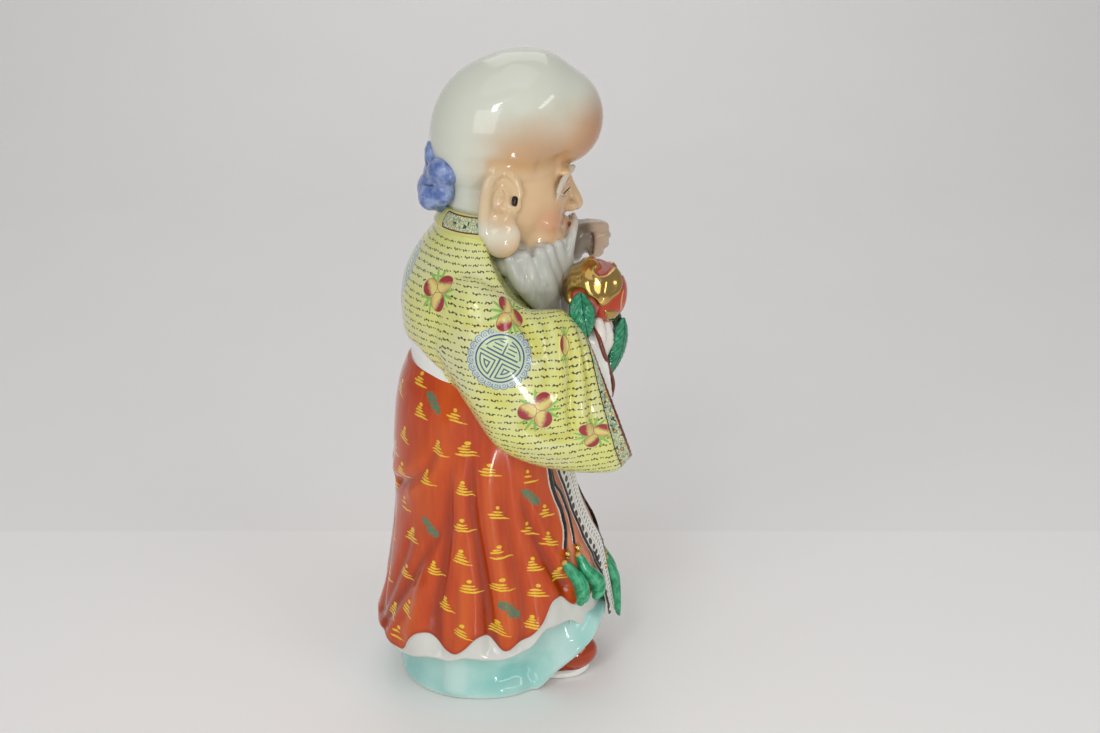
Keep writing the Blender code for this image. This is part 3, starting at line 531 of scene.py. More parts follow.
SIDE_CREASES = [  # (degrees, height) path, depth at start and end, width at start and end
    ([(148, 180), (146.5, 166), (141, 151), (131, 141), (119, 134), (104, 129)], 1.5, 3.0, 3.6, 3.6),
    ([(152, 140), (147, 109), (140, 96), (131, 79), (122, 63), (112, 42)], 0.8, 3.4, 3.2, 5.0),
    ([(158, 176), (154.5, 139), (153.6, 114), (151, 86), (148.5, 64), (150.5, 36)], 1.4, 3.6, 3.0, 4.2),
    ([(171, 182), (168.2, 142), (168.7, 122), (172, 100), (175.6, 73), (178, 40)], 1.6, 4.6, 3.0, 4.4),
    ([(186, 168), (186.7, 128), (188.2, 107), (190.6, 86), (193, 62), (192, 38)], 1.0, 2.6, 3.0, 4.6),
    ([(196, 150), (201.5, 119), (206.8, 97), (213, 80), (219, 70)], 1.4, 3.8, 3.2, 4.6),
    ([(163, 122), (161, 96), (158.5, 70), (157.5, 36)], 0.3, 1.4, 2.6, 3.6),
    ([(128, 118), (122, 92), (113, 66), (104, 44)], 0.6, 2.6, 3.6, 5.0),
]
SIDE_RIDGES = [
    ([(150, 190), (150.5, 168), (147, 150), (138, 138), (124, 128)], 0.8, 1.2, 5.0, 5.5),
    ([(143, 160), (134, 148), (120, 141), (100, 136)], 1.0, 1.8, 6.0, 6.0),
    ([(162, 176), (161, 140), (161, 114), (161.8, 86), (164.5, 50)], 0.9, 1.6, 4.0, 5.0),
    ([(178, 176), (176.5, 140), (178.5, 110), (182, 84), (185.5, 50)], 1.0, 2.2, 4.2, 5.5),
    ([(206, 132), (210.5, 100), (217, 84)], 0.8, 1.6, 4.0, 4.5),
    ([(142, 84), (137, 66), (132, 46)], 0.6, 1.6, 4.0, 5.0),
]
BACK_CREASES = [
    ([(97, 118), (95, 88), (98, 44)], 0.8, 2.8, 3.6, 4.8),
    ([(84, 120), (86, 84), (82, 46)], 0.8, 2.8, 3.6, 4.8),
]
FRONT_CREASES = [
    ([(270, 150), (270, 110), (271, 66)], 0.8, 2.0, 3.0, 4.0),
    ([(250, 140), (249, 110), (247, 70)], 0.6, 1.6, 2.6, 3.4),
    ([(290, 140), (291, 110), (293, 70)], 0.6, 1.6, 2.6, 3.4),
]


def skirt_radius(z):
    return tuple(smooth_curve(SKIRT_Z, v, z) for v in (SKIRT_SIDE, SKIRT_FRONT, SKIRT_BACK))


def lobes(a, z):
    """Outward swelling of the flared hem between its creases."""
    w = around(WAVE, a) - around(HEM, a)
    return (w - 9.0) * 0.22 * ease((112.0 - z) / 74.0)


def skirt_folds(a, z):
    """Height of the carved folds over the plain skirt, in mm."""
    deg = np.degrees(a) % 360
    total = np.zeros(deg.shape)
    sets = []
    for lines, sign in ((SIDE_CREASES, -1), (SIDE_RIDGES, 1), (BACK_CREASES, -1), (FRONT_CREASES, -1)):
        for path, d0, d1, w0, w1 in lines:
            sets.append((path, d0 * sign, d1 * sign, w0, w1))
            if lines in (SIDE_CREASES, SIDE_RIDGES):
                sets.append(([((180 - p) % 360, q) for p, q in path], d0 * sign, d1 * sign, w0, w1))
    for path, d0, d1, w0, w1 in sets:
        start = path[0][0]
        away = (deg - start + 180) % 360 - 180
        flat = np.stack([away * AROUND * math.pi / 180, z], -1).reshape(-1, 2)
        line = smooth_path([(((p - start + 180) % 360 - 180) * AROUND * math.pi / 180, q) for p, q in path], 14)
        near = np.where((np.abs(flat[:, 0]) < 75) & (flat[:, 1] > line[:, 1].min() - 16) & (flat[:, 1] < line[:, 1].max() + 16))[0]
        best, share = distance_to(flat[near], line)
        depth = d0 + (d1 - d0) * share
        width = w0 + (w1 - w0) * share
        fade = ease(share / 0.3)
        h = np.zeros(len(flat))
        h[near] = depth * fade * np.exp(-((best / width) ** 2))
        total += h.reshape(deg.shape)
    return total


def skirt_place(a, z, out=0.0):
    """Points of the plain skirt at angle a and height z, stood off by out."""
    side, front, back = skirt_radius(z)
    c, s = np.cos(a), np.sin(a)
    q = 2 / 2.1
    depth = np.where(s > 0, back - 6.0, front + 6.0)
    p = np.stack([side * np.sign(c) * np.abs(c) ** q, 6.0 + depth * np.sign(s) * np.abs(s) ** q, z + 0 * a], -1)
    radial = p[..., :2] - np.array([0.0, 6.0])
    radial /= np.linalg.norm(radial, axis=-1)[..., None]
    p[..., :2] += radial * np.asarray(out)[..., None]
    return p


def on_skirt(deg, z, out=0.0):
    """Places on the carved skirt at angles round it and heights, stood off by out."""
    deg, z = np.broadcast_arrays(np.asarray(deg, float), np.asarray(z, float))
    a = np.radians(deg)
    return skirt_place(a, z.copy(), out + lobes(a, z) + skirt_folds(a, z))


def skirt_mesh(n=490, up=130):
    a = 2 * np.pi * np.arange(n) / n
    wave, hem = around(EDGE, a), around(HEM, a)
    ripple = 0.25 * np.sin(17 * a + 1.0) + 0.2 * np.sin(29 * a)
    for _ in range(7):
        wave = (np.roll(wave, 1) + 2 * wave + np.roll(wave, -1)) / 4
    wave = np.maximum(wave + ripple, hem + 1.4)
    top = around(WAIST, a)
    rows = []       # (z, out, edge distance above the orange edge, carved height)

    def row(z, inset, lobe, edge, fold=1.0):
        f = skirt_folds(a, z) * fold
        rows.append((z, lobe * lobes(a, z) + f - inset, edge, f))

    row(hem + 3.0, 15.0, 0.2, -9 + 0 * a, 0.3)
    row(hem + 0.6, 7.0, 0.3, -9 + 0 * a, 0.5)
    for q in (0, 1, 2, 3):                      # rounded lower edge of the white lining
        t = q / 3 * math.pi / 2
        row(hem + 0.9 - 0.9 * math.sin(t + 0.3), 4.6 - 1.6 * (1 - math.cos(t)), 0.4, -8 + 0 * a, 0.8)
    for q in np.linspace(0.06, 1.0, 14):        # lining, turned out a little towards the orange edge
        row(hem + 0.6 + (wave - 0.9 - hem - 0.6) * q, 2.9 - 0.9 * q * q, 0.45 + 0.4 * q, -1.2 - 6 * (1 - q) + 0 * a, 0.9)
    for z, inset, edge in ((-0.9, 1.3, -0.9), (-0.75, 0.75, -0.45), (-0.45, 0.3, -0.1), (0.1, 0.06, 0.35), (0.8, -0.06, 0.9)):
        row(wave + z, inset, 1.0, edge + 0 * a)
    for t in np.linspace(0.0, 1.0, up) ** 1.06:
        z = wave + 1.6 + (top - wave - 2.4) * t
        row(z, -0.06 * (1 - t), 1.0, z - wave)
    row(top - 0.2, 0.25, 1.0, 99 + 0 * a)
    row(top + 0.4, 1.2, 1.0, 99 + 0 * a)
    row(top + 0.5, 2.4, 1.0, 99 + 0 * a)
    row(top - 6.0, 12.0, 1.0, 99 + 0 * a)
    rings = np.array([skirt_place(a, r[0] + 0 * a, r[1] + 0 * a) for r in rows])
    verts, faces = loft(rings)
    pad = lambda v: np.concatenate([np.asarray(v).ravel(), [v[0][0], v[-1][0]]])
    z = pad(np.array([r[0] + 0 * a for r in rows]))
    deg = pad(np.array([np.degrees(a) for _ in rows]))
    edge = pad(np.array([r[2] + 0 * a for r in rows]))
    fold = pad(np.array([r[3] + 0 * a for r in rows]))
    below = pad(np.array([top - r[0] for r in rows]))
    return verts, faces, deg, z, edge, fold, below


# ================================================================ underskirt
FOOT_HALF_WIDTH, FOOT_BACK, FOOT_FRONT = 50.0, 59.5, 31.0


def underskirt_mesh(n=400):
    a = 2 * np.pi * np.arange(n) / n
    front = np.degrees(np.abs((a - math.radians(270) + np.pi) % (2 * np.pi) - np.pi))
    lift = smooth_curve([0, 12, 20, 25, 33, 41, 52, 180], [35, 38, 37, 29, 19, 9.5, 0, 0], front)
    reach = smooth_curve([0, 20, 30, 41, 60, 180], [34, 33, 24, 11, 0, 0], front)
    billow = 1.3 * np.sin(5 * a + 0.6) + 0.8 * np.sin(9 * a + 2.0) + 0.5 * np.sin(14 * a + 1.0)
    near = ease(1 - np.abs((np.degrees(a) - 205 + 180) % 360 - 180) / 40) + ease(1 - np.abs((np.degrees(a) - 335 + 180) % 360 - 180) / 40)

    def ring(z, grow, part, fold=0.0, swirl=0.0):
        r = horizontal(0.0, FOOT_HALF_WIDTH + grow, FOOT_FRONT + grow, FOOT_BACK + grow, n=n, power=2.15, middle=8.0)
        out = r.copy()
        radial = r[:, :2] / np.linalg.norm(r[:, :2], axis=1)[:, None]
        out[:, :2] += radial * (part * reach + fold * billow + swirl * near)[:, None]
        out[:, 2] = z
        return out

    key = [  # height share of lift, extra height, grow, reach share, billow share, swirl
        (0.0, 0.0, -0.9, 0.0, 0.0, 0), (0.0, 0.0, -0.5, 0.0, 0.0, 0), (0.5, 0.0, -0.6, 0.05, 0.0, 0), (0.93, 0.0, -0.3, 0.12, 0.0, 0),
        (0.98, 0.2, 0.2, 0.55, 0, 0), (1.0, 0.5, 0.8, 0.92, 0, 0), (1.0, 1.4, 1.7, 0.985, 0.15, 0), (1.0, 2.6, 2.0, 1.0, 0.3, 0),
        (1.0, 4.0, 2.1, 1.0, 0.5, 0.2), (1.0, 6.0, 1.8, 1.0, 0.75, 0.3), (0.96, 8.5, 1.0, 0.98, 0.9, -0.6), (0.9, 11.5, 0.2, 0.95, 1.0, -2.2),
        (0.84, 15.0, -0.5, 0.92, 1.0, -2.8), (0.79, 18.5, -0.9, 0.9, 1.0, -1.6), (0.73, 22.5, -1.2, 0.86, 1.0, 0.6), (0.62, 29.0, -1.4, 0.8, 0.8, 1.6),
        (0.5, 36.0, -1.5, 0.72, 0.6, 1.0), (0.25, 48.0, -2.0, 0.6, 0.2, 0), (0.0, 60.0, -2.5, 0.5, 0, 0), (0.0, 80.0, -6.0, 0.35, 0, 0),
    ]
    key = np.array(key)
    s = np.arange(len(key), dtype=float)
    fine = np.concatenate([np.linspace(0, 9, 34, endpoint=False), np.linspace(9, len(key) - 1, 46)])
    col = [smooth_curve(s, key[:, i], fine) for i in range(6)]
    rings = np.array([ring(lift * c[0] + c[1], c[2], c[3], c[4], c[5]) for c in zip(*col)])
    rings[0, :, 2] = rings[1, :, 2] = 0.0
    verts, faces = loft(rings)
    step = np.array([np.broadcast_to(f, (n,)) for f in fine])
    pad = lambda v: np.concatenate([np.asarray(v).ravel(), [v[0][0], v[-1][0]]])
    hollow = np.array([c[4] * billow + c[5] * near for c in zip(*col)])
    rim = np.array([(rings[i, :, 2] - lift) for i in range(len(fine))])
    return verts, faces, pad(step), pad(hollow), pad(rim)


# ================================================================ coat
COAT_Z = [188, 199, 206, 212, 218, 226, 237, 249, 263, 275, 282, 288, 293]
COAT_BACK = [52.4, 52.4, 52.4, 52.2, 52.4, 54.2, 55, 53.5, 47.8, 39.5, 33.5, 28.5, 26]
COAT_FRONT = [37.5, 38.5, 38, 37.5, 37, 35.5, 32.5, 29, 25, 21.5, 20, 19, 18]
COAT_SIDE = [49, 50, 51, 53, 55, 57.5, 59.5, 59, 52, 43, 36, 30, 26]
COAT_HEM = [(0, 196), (30, 207), (39, 211), (49, 215), (62, 219), (90, 219), (118, 219), (131, 215),
            (141, 211), (150, 207), (180, 196), (225, 192), (270, 190), (315, 192)]


def coat_rings(n, zs):
    """Level rings of the coat's body, for its form and for its cloth coordinates."""
    a = 2 * np.pi * np.arange(n) / n
    out = []
    for z in zs:
        side, front, back = (smooth_curve(COAT_Z, v, z) for v in (COAT_SIDE, COAT_FRONT, COAT_BACK))
        c, s = np.cos(a), np.sin(a)
        q = 2 / 2.2
        depth = np.where(s > 0, back - 8.0, front + 8.0)
        out.append(np.stack([side * np.sign(c) * np.abs(c) ** q, 8.0 + depth * np.sign(s) * np.abs(s) ** q, z + 0 * a], 1))
    return np.array(out)


def coat_body(n=420):
    a = 2 * np.pi * np.arange(n) / n
    hem = around(COAT_HEM, a)

    def ring(z, inset=0.0):
        side, front, back = (smooth_curve(COAT_Z, v, z) for v in (COAT_SIDE, COAT_FRONT, COAT_BACK))
        c, s = np.cos(a), np.sin(a)
        q = 2 / 2.2
        depth = np.where(s > 0, back - 8.0, front + 8.0) - inset
        p = np.stack([(side - inset) * np.sign(c) * np.abs(c) ** q, 8.0 + depth * np.sign(s) * np.abs(s) ** q, z + 0 * a], 1)
        # the coat parts in front for the beard
        lapel = smooth_curve([222, 226, 232, 240, 252, 266, 278], [-42, -31, -22, -13.0, -3.5, 4.0, 8.0], p[:, 2])
        limit = smooth_curve([222, 227, 233, 248, 262, 270, 280, 292], [40, 15, 16, 22, 27.5, 25, 17, 14], p[:, 2])
        inside = ease((lapel - p[:, 1]) / 1.6) * (p[:, 2] > 225)
        tucked = np.sign(p[:, 0]) * np.minimum(np.abs(p[:, 0]), limit)
        p[:, 0] += (tucked - p[:, 0]) * inside
        return p

    rings = [ring(hem - 26.0, 12.0), ring(hem - 24.0, 2.6), ring(hem - 12.0, 2.4), ring(hem - 1.8, 2.2), ring(hem - 1.1, 1.0), ring(hem - 0.2, 0.1), ring(hem + 1.2, -0.1)]
    rings += [ring(hem + (293 - hem) * t, 0.0) for t in np.linspace(0.03, 1, 50)]
    return loft(rings)


RIGHT_SLEEVE = [  # (top y, z), (bottom y, z), middle x, half thickness
    ((30, 262), (33, 210), -40, 17),
    ((18, 264), (20, 189), -49, 24),
    ((2, 257), (3, 164.5), -53.5, 25),
    ((-16, 243.5), (-18, 153), -52, 25),
    ((-32, 242), (-44, 145.5), -47.5, 24),
    ((-43, 233), (-64, 142.5), -42, 22.5),
    ((-47.5, 227), (-75.5, 150.5), -38.5, 21),
]
LEFT_SLEEVE = [
    ((30, 262), (33, 210), 40, 17),
    ((17, 264), (19, 194), 48.5, 24),
    ((1, 259), (3, 172), 53, 25.5),
    ((-15, 253), (-15, 161), 52, 25),
    ((-29, 253), (-34, 156), 49.5, 24.5),
    ((-39, 252), (-50, 156.5), 46.5, 23),
    ((-45, 251), (-60, 164), 44.5, 21.5),
]


def sleeve_stations(stations, count):
    st = np.array([(*t, *b, x, w) for t, b, x, w in stations], float)
    s = np.linspace(0, 1, len(st))
    return [smooth_curve(s, st[:, i], np.linspace(0, 1, count)) for i in range(6)]


def sleeve_ring(cols, i, angles, scale=0.0, push=0.0):
    ty, tz, by, bz, cx, hw = (c[i] for c in cols)
    c = np.sign(np.cos(angles)) * np.abs(np.cos(angles)) ** 0.9
    s = np.sign(np.sin(angles)) * np.abs(np.sin(angles)) ** 0.9
    mid = np.array([cx, (ty + by) / 2, (tz + bz) / 2])
    half = np.array([0.0, (ty - by) / 2, (tz - bz) / 2])
    long = np.linalg.norm(half)
    sink = np.array([0.0, -half[2], half[1]]) / long
    inward = sink if sink[1] > 0 else -sink
    return mid + inward * push + np.outer(c * (long - scale) / long, half) + np.outer(s * (hw - scale), (1.0, 0.0, 0.0))


def sleeve(stations, n=160, count=90, cut=9.0, rim=2.6):
    """Hanging sleeve, hollowed at the cuff."""
    cols = sleeve_stations(stations, count)
    a = 2 * np.pi * np.arange(n) / n
    last = count - 1
    rings = [sleeve_ring(cols, 0, a, 6.0, 4.0), sleeve_ring(cols, 0, a, 1.5, 1.0)] + [sleeve_ring(cols, i, a) for i in range(count)]
    rings += [sleeve_ring(cols, last, a, s, p) for s, p in (
        (0.5, -0.7), (1.2, -0.9), (rim * 0.8, -0.7), (rim, 0.4), (rim * 1.15, cut * 0.5), (rim * 1.4, cut * 0.85), (rim * 2.2, cut))]
    return loft(rings)


def cloth_grid(grid, u, v, w):
    """A surface with coordinates on it, for reading the cloth's weave direction at any point."""
    rows, cols = grid.shape[:2]
    tris = []
    for i in range(rows - 1):
        for j in range(cols - 1):
            p = i * cols + j
            tris.append((p, p + 1, p + cols + 1))
            tris.append((p, p + cols + 1, p + cols))
    flat = grid.reshape(-1, 3)
    return BVHTree.FromPolygons([tuple(p) for p in flat], tris), flat, np.array(tris), np.stack([u.ravel(), v.ravel(), w.ravel()], 1)


def sleeve_cloth(stations, side):
    """Rows lie level on the sleeve's outer wall and follow its arc over the top."""
    cols = sleeve_stations([(t, b, -side * x, w) for t, b, x, w in stations], 60)
    m = 96
    a = math.pi / 2 + 2 * np.pi * np.arange(m + 1) / m
    grid = np.array([sleeve_ring(cols, i, a) for i in range(60)])
    arc = np.concatenate([np.zeros((60, 1)), np.cumsum(np.linalg.norm(np.diff(grid, axis=1), axis=2), axis=1)], 1)
    v = grid[:, m // 2, 2][:, None] - (arc - arc[:, m // 2][:, None]) * (-1.0)
    u = -grid[:, :, 1].copy()
    w = arc - arc[:, m // 4][:, None]
    grid[:, :, 0] *= -side
    return cloth_grid(grid, u, v, w)


def body_cloth():
    zs = np.linspace(192, 293, 60)
    n = 180
    rings = coat_rings(n, zs)
    order = (np.arange(n + 1) + 135) % n        # from the middle of the front, all round
    grid = rings[:, order]
    arc = np.concatenate([np.zeros((1, n + 1)), np.cumsum(np.linalg.norm(np.diff(grid, axis=0), axis=2), axis=0)], 0)
    ref = int(np.argmin(np.abs(zs - 232)))
    v = 232 + arc - arc[ref]
    u = np.broadcast_to(np.arange(n + 1) * 2 * math.pi / n * 54.0, v.shape)
    return cloth_grid(grid, u.copy(), v, np.zeros(v.shape))


def read_cloth(cloth, points):
    """Distance to the cloth and its three coordinates at the nearest place."""
    tree, flat, tris, values = cloth
    find = tree.find_nearest
    hits = [find(p) for p in points.tolist()]
    place = np.array([tuple(h[0]) for h in hits])
    t = tris[[h[2] for h in hits]]
    dist = np.array([h[3] for h in hits])
    a = flat[t[:, 0]]
    e1, e2, w = flat[t[:, 1]] - a, flat[t[:, 2]] - a, place - a
    dot = lambda p, q: (p * q).sum(1)
    d11, d12, d22, dw1, dw2 = dot(e1, e1), dot(e1, e2), dot(e2, e2), dot(w, e1), dot(w, e2)
    det = np.maximum(d11 * d22 - d12 * d12, 1e-12)
    s, r = (d22 * dw1 - d12 * dw2) / det, (d11 * dw2 - d12 * dw1) / det
    read = values[t[:, 0]] * (1 - s - r)[:, None] + values[t[:, 1]] * s[:, None] + values[t[:, 2]] * r[:, None]
    return np.concatenate([dist[:, None], read], 1)


def sleeve_lines():
    """Fold lines pressed into the sleeves: path, half width, height."""
    near = [
        # the deep folds that run down to the cuff
        ([(-52, -33, 240), (-64, -35, 228), (-70, -36, 208), (-72, -36, 186), (-70, -40, 170)], 2.7, -2.3),
        ([(-50, -38, 238), (-62, -40.5, 224), (-67, -42, 204), (-69, -43, 186), (-67, -50, 166)], 2.2, 1.7),
        ([(-50, -42, 235), (-60, -44.5, 222), (-65, -46, 204), (-67, -48, 186), (-64, -56, 162)], 2.0, -1.8),
        ([(-48, -45, 232), (-56, -49, 218), (-60, -52, 200), (-62, -56, 180), (-60, -63, 160)], 2.2, 1.2),
        ([(-56, -28, 242), (-68, -30, 228), (-75, -30, 208), (-77, -28, 190)], 3.6, 1.5),
        ([(-56, -22, 243), (-70, -24, 232), (-76, -23, 216), (-78, -20, 200)], 3.4, -1.2),
        # elbow hollow between the upper arm and the forearm
        ([(-58, -6, 248), (-66, -10, 241), (-70, -15, 233), (-74, -17, 220)], 4.2, -2.2),
        ([(-60, -16, 245), (-70, -19, 238), (-76, -19, 226)], 3.6, 1.0),
        # sagging folds across the lower sleeve
        ([(-78, -2, 190), (-77, -16, 180), (-74, -30, 175), (-70, -42, 174)], 4.0, -1.5),
        ([(-76, 2, 178), (-76, -14, 169), (-72, -30, 165), (-68, -44, 163)], 4.4, 1.4),
        ([(-66, 20, 208), (-70, 12, 192), (-72, 2, 180)], 5.0, 1.2),
        ([(-72, 16, 222), (-76, 6, 204), (-76, -6, 192)], 5.5, -1.0),
        ([(-66, 24, 246), (-72, 14, 240), (-72, 2, 244)], 6.0, -0.9),
    ]
    lines = [(smooth_path(p, 22), w, h) for p, w, h in near]
    for p, w, h in near:
        lines.append((smooth_path([(-x * 1.0, y * 0.93, z + 6.0 * ease((-y) / 30.0)) for x, y, z in p], 22), w, h * 0.9))
    # back of the coat
    lines += [
        (smooth_path([(-30, 40, 226), (-14, 50, 222), (0, 52, 221), (14, 50, 222), (30, 40, 226)], 20), 5.0, 0.8),
        (smooth_path([(-44, 30, 228), (-46, 30, 246), (-38, 32, 262)], 16), 5.0, -1.0),
        (smooth_path([(44, 30, 228), (46, 30, 246), (38, 32, 262)], 16), 5.0, -1.0),
    ]
    return lines


# ================================================================ enamels and glazes
CAMERA_RIGHT = np.array((-0.10453, -0.99452, 0.0))


def mosaic(g, x, y, lightness=1.0):
    """Millefleur band: small enamel cells with dark outlines and gilt florets."""
    vector = g.join(x, y, 0.0)

    def cells(size, feature):
        node = g.tree.nodes.new("ShaderNodeTexVoronoi")
        node.feature = feature
        node.inputs["Scale"].default_value = 1.0 / size
        g.tree.links.new(vector, node.inputs["Vector"])
        return node

    small = cells(1.55, "F1")
    edge = Paint(g.tree, cells(1.55, "DISTANCE_TO_EDGE").outputs["Distance"])
    split = g.tree.nodes.new("ShaderNodeSeparateColor")
    g.tree.links.new(small.outputs["Color"], split.inputs[0])
    pick = Paint(g.tree, split.outputs[0])
    tone = g.mix(pick.above(0.50), (196, 208, 170), (214, 214, 166))
    tone = g.mix(pick.above(0.76), tone, (214, 196, 110))
    tone = g.mix(pick.above(0.86), tone, (124, 168, 146))
    tone = g.mix(pick.above(0.92), tone, (76, 82, 74))
    tone = g.mix(edge.rise(0.07, 0.03) * 0.8, tone, (58, 60, 52))
    big = cells(9.5, "F1")
    rad = Paint(g.tree, big.outputs["Distance"]) * 9.5
    tone = g.mix((rad - 1.9).line(0.18, 0.1) * 0.8, tone, (70, 50, 40))
    tone = g.mix(rad.rise(1.75, 1.55), tone, (204, 156, 70))
    tone = g.mix(rad.rise(0.75, 0.55), tone, (136, 74, 40))
    return tone


def peach_cluster(g, x, y, kind_mask, tone, squeeze=1.0):
    """Three peaches round a point with fans of narrow leaves between them."""
    r = (x * x + y * y).sqrt()
    th = y.atan2(x)
    third = math.pi / 3
    # leaves
    fan = th.wrap(-third, third)
    qx, qy = r * fan.cos() - 3.6, r * fan.sin()
    rr = (qx * qx + qy * qy).sqrt()
    phi = qy.atan2(qx)
    step = math.radians(33)
    blade = phi.wrap(-step / 2, step / 2)
    across = abs(rr * blade.sin())
    reach = rr / 9.8
    width = (reach * (1.0 - reach)).max(0.0).sqrt() * 2.1
    inside = (width - across).rise(-0.05, 0.22) * abs(phi).rise(0.84, 0.78) * rr.rise(1.0, 2.0)
    vein = across.line(0.12, 0.14)
    green = g.mix(g.noise(3.0, 2.0), (116, 176, 84), (172, 208, 104))
    green = g.mix(vein * 0.6, green, (66, 134, 66))
    tone = g.mix(inside * kind_mask, tone, green)
    # peaches
    pet = (th - third).wrap(-third, third)
    px, py = r * pet.cos() - 6.0, r * pet.sin()
    e = ((px / 5.3) * (px / 5.3) + (py / 4.95) * (py / 4.95)).sqrt()
    body = e.rise(1.02, 0.96) * kind_mask
    blush = (px * 0.65 + py * 0.70 + g.noise(1.6, 2.0) * 3.0).rise(0.2, 3.6)
    flesh = g.mix(blush, (220, 206, 124), (160, 52, 62))
    flesh = g.mix((-py - px * 0.3).rise(2.2, 4.4) * 0.45, flesh, (196, 104, 92))
    flesh = g.mix((py + px * px * 0.04 - 0.4).line(0.16, 0.16) * blush * 0.7, flesh, (138, 24, 50))
    tone = g.mix(body, tone, flesh)
    rim = (e - 0.985).line(0.045, 0.03) * kind_mask
    tone = g.mix(rim * 0.7, tone, (150, 66, 62))
    cover = (r.rise(14.2, 13.2) * inside.max(e.rise(1.2, 1.12))).clip()
    return tone, cover


def single_peach(g, x, y, kind_mask, tone):
    """One upright peach with a leaf tuft above and below."""
    ay = abs(y)
    qy = ay - 4.4
    rr = (x * x + qy * qy).sqrt()
    phi = x.atan2(qy)
    step = math.radians(26)
    blade = (phi + step / 2).wrap(-step / 2, step / 2)
    across = abs(rr * blade.sin())
    reach = rr / 6.6
    width = (reach * (1.0 - reach)).max(0.0).sqrt() * 1.2
    inside = (width - across).rise(-0.05, 0.18) * abs(phi).rise(0.9, 0.8)
    green = g.mix(g.noise(3.0, 2.0), (120, 176, 84), (168, 204, 96))
    tone = g.mix(inside * kind_mask, tone, green)
    e = ((x / 4.6) * (x / 4.6) + (y / 5.8) * (y / 5.8)).sqrt()
    flesh = g.mix((x + g.noise(2.2, 2.0) * 2.2).rise(1.2, -1.8), (220, 206, 124), (160, 52, 62))
    tone = g.mix(e.rise(1.02, 0.96) * kind_mask, tone, flesh)
    tone = g.mix((e - 0.985).line(0.05, 0.03) * kind_mask * 0.85, tone, (134, 36, 52))
    return tone, inside.max(e.rise(1.25, 1.12))


def roundel(g, x, y, kind_mask, tone):
    """Blue medallion: a ring of curls round nested fret lines."""
    r = (x * x + y * y).sqrt()
    th = y.atan2(x)
    wob = (g.noise(6.0, 1.0) - 0.5) * 0.5
    blue, navy = (92, 122, 176), (44, 66, 132)
    # ring of curls, its outer side scalloped
    count = 23.0
    cell = ((th * (count / (2 * math.pi))).fract() - 0.5)
    arc = cell * (2 * math.pi / count) * 15.2
    ring_y = r - 15.3
    curl_r = (arc * arc + ring_y * ring_y).sqrt()
    disc_in = (r.rise(15.5, 15.2)).max(curl_r.rise(2.3, 2.1)) * kind_mask
    ground = g.mix(r.rise(12.6, 13.6), (206, 222, 172), (202, 212, 190))
    ground = g.mix(g.noise(9.0, 2.0).rise(0.45, 0.7) * 0.5, ground, (184, 208, 168))
    tone = g.mix(disc_in, tone, ground)
    curls = (curl_r - 2.05).line(0.28, 0.13) * ring_y.rise(-1.2, -0.2)
    spiral = (curl_r - 0.95).line(0.24, 0.13) * (arc + ring_y).rise(-0.9, -0.1)
    dot = ((arc + 0.3) * (arc + 0.3) + (ring_y + 0.5) * (ring_y + 0.5)).sqrt().rise(0.6, 0.3)
    tone = g.mix((curls.max(spiral).max(dot)) * kind_mask * r.rise(12.9, 13.3) * 0.85, tone, blue)
    tone = g.mix((r + wob * 0.4 - 12.95).line(0.42, 0.12) * kind_mask * 0.95, tone, navy)
    # frets: nested lines, the lower quarters square-spiralled, the upper half barred
    ax, ay = abs(x), y - 0.2
    wx, wy = ax + wob * 0.6, ay + wob * 0.6
    pitch = 2.15

    def stripes(d, half=0.34):
        return ((d / pitch).fract() - 0.5) * pitch, half

    inner = r.rise(12.2, 11.9)
    # lower quarters: distance to the nearest of the stem, the crossbar and the ring
    low = ay.rise(0.15, -0.15)
    dl = wx.min(-wy).min(12.95 - r)
    d, h = stripes(dl + pitch * 0.5)
    lines_low = d.line(0.40, 0.12) * low
    # upper half: a long bar, then short level bars either side of a stem, under arcs
    long_bar = (wy - 2.15).line(0.46, 0.12) * wx.rise(9.6, 9.3)
    d, h = stripes(wy - 2.15 + pitch * 0.5)
    bars = d.line(0.36, 0.12) * wx.rise(6.9, 6.6) * wx.rise(1.2, 1.5) * r.rise(10.2, 9.9)
    arcs = (12.95 - r - pitch).line(0.38, 0.12) * (wy - 3.0).rise(0.0, 0.4) * wx.rise(1.4, 1.8)
    stem = wx.line(0.40, 0.12) * r.rise(9.6, 9.2) * (wy - 2.0).rise(0.0, 0.3)
    lines_up = long_bar.max(bars).max(arcs).max(stem) * (1.0 - low)
    mid = (wx.line(0.44, 0.12) * low).max(wy.line(0.42, 0.12))
    tone = g.mix((lines_low.max(lines_up).max(mid)) * inner * kind_mask * 0.9, tone, navy)
    return tone, disc_in.max(r.rise(17.6, 17.2))


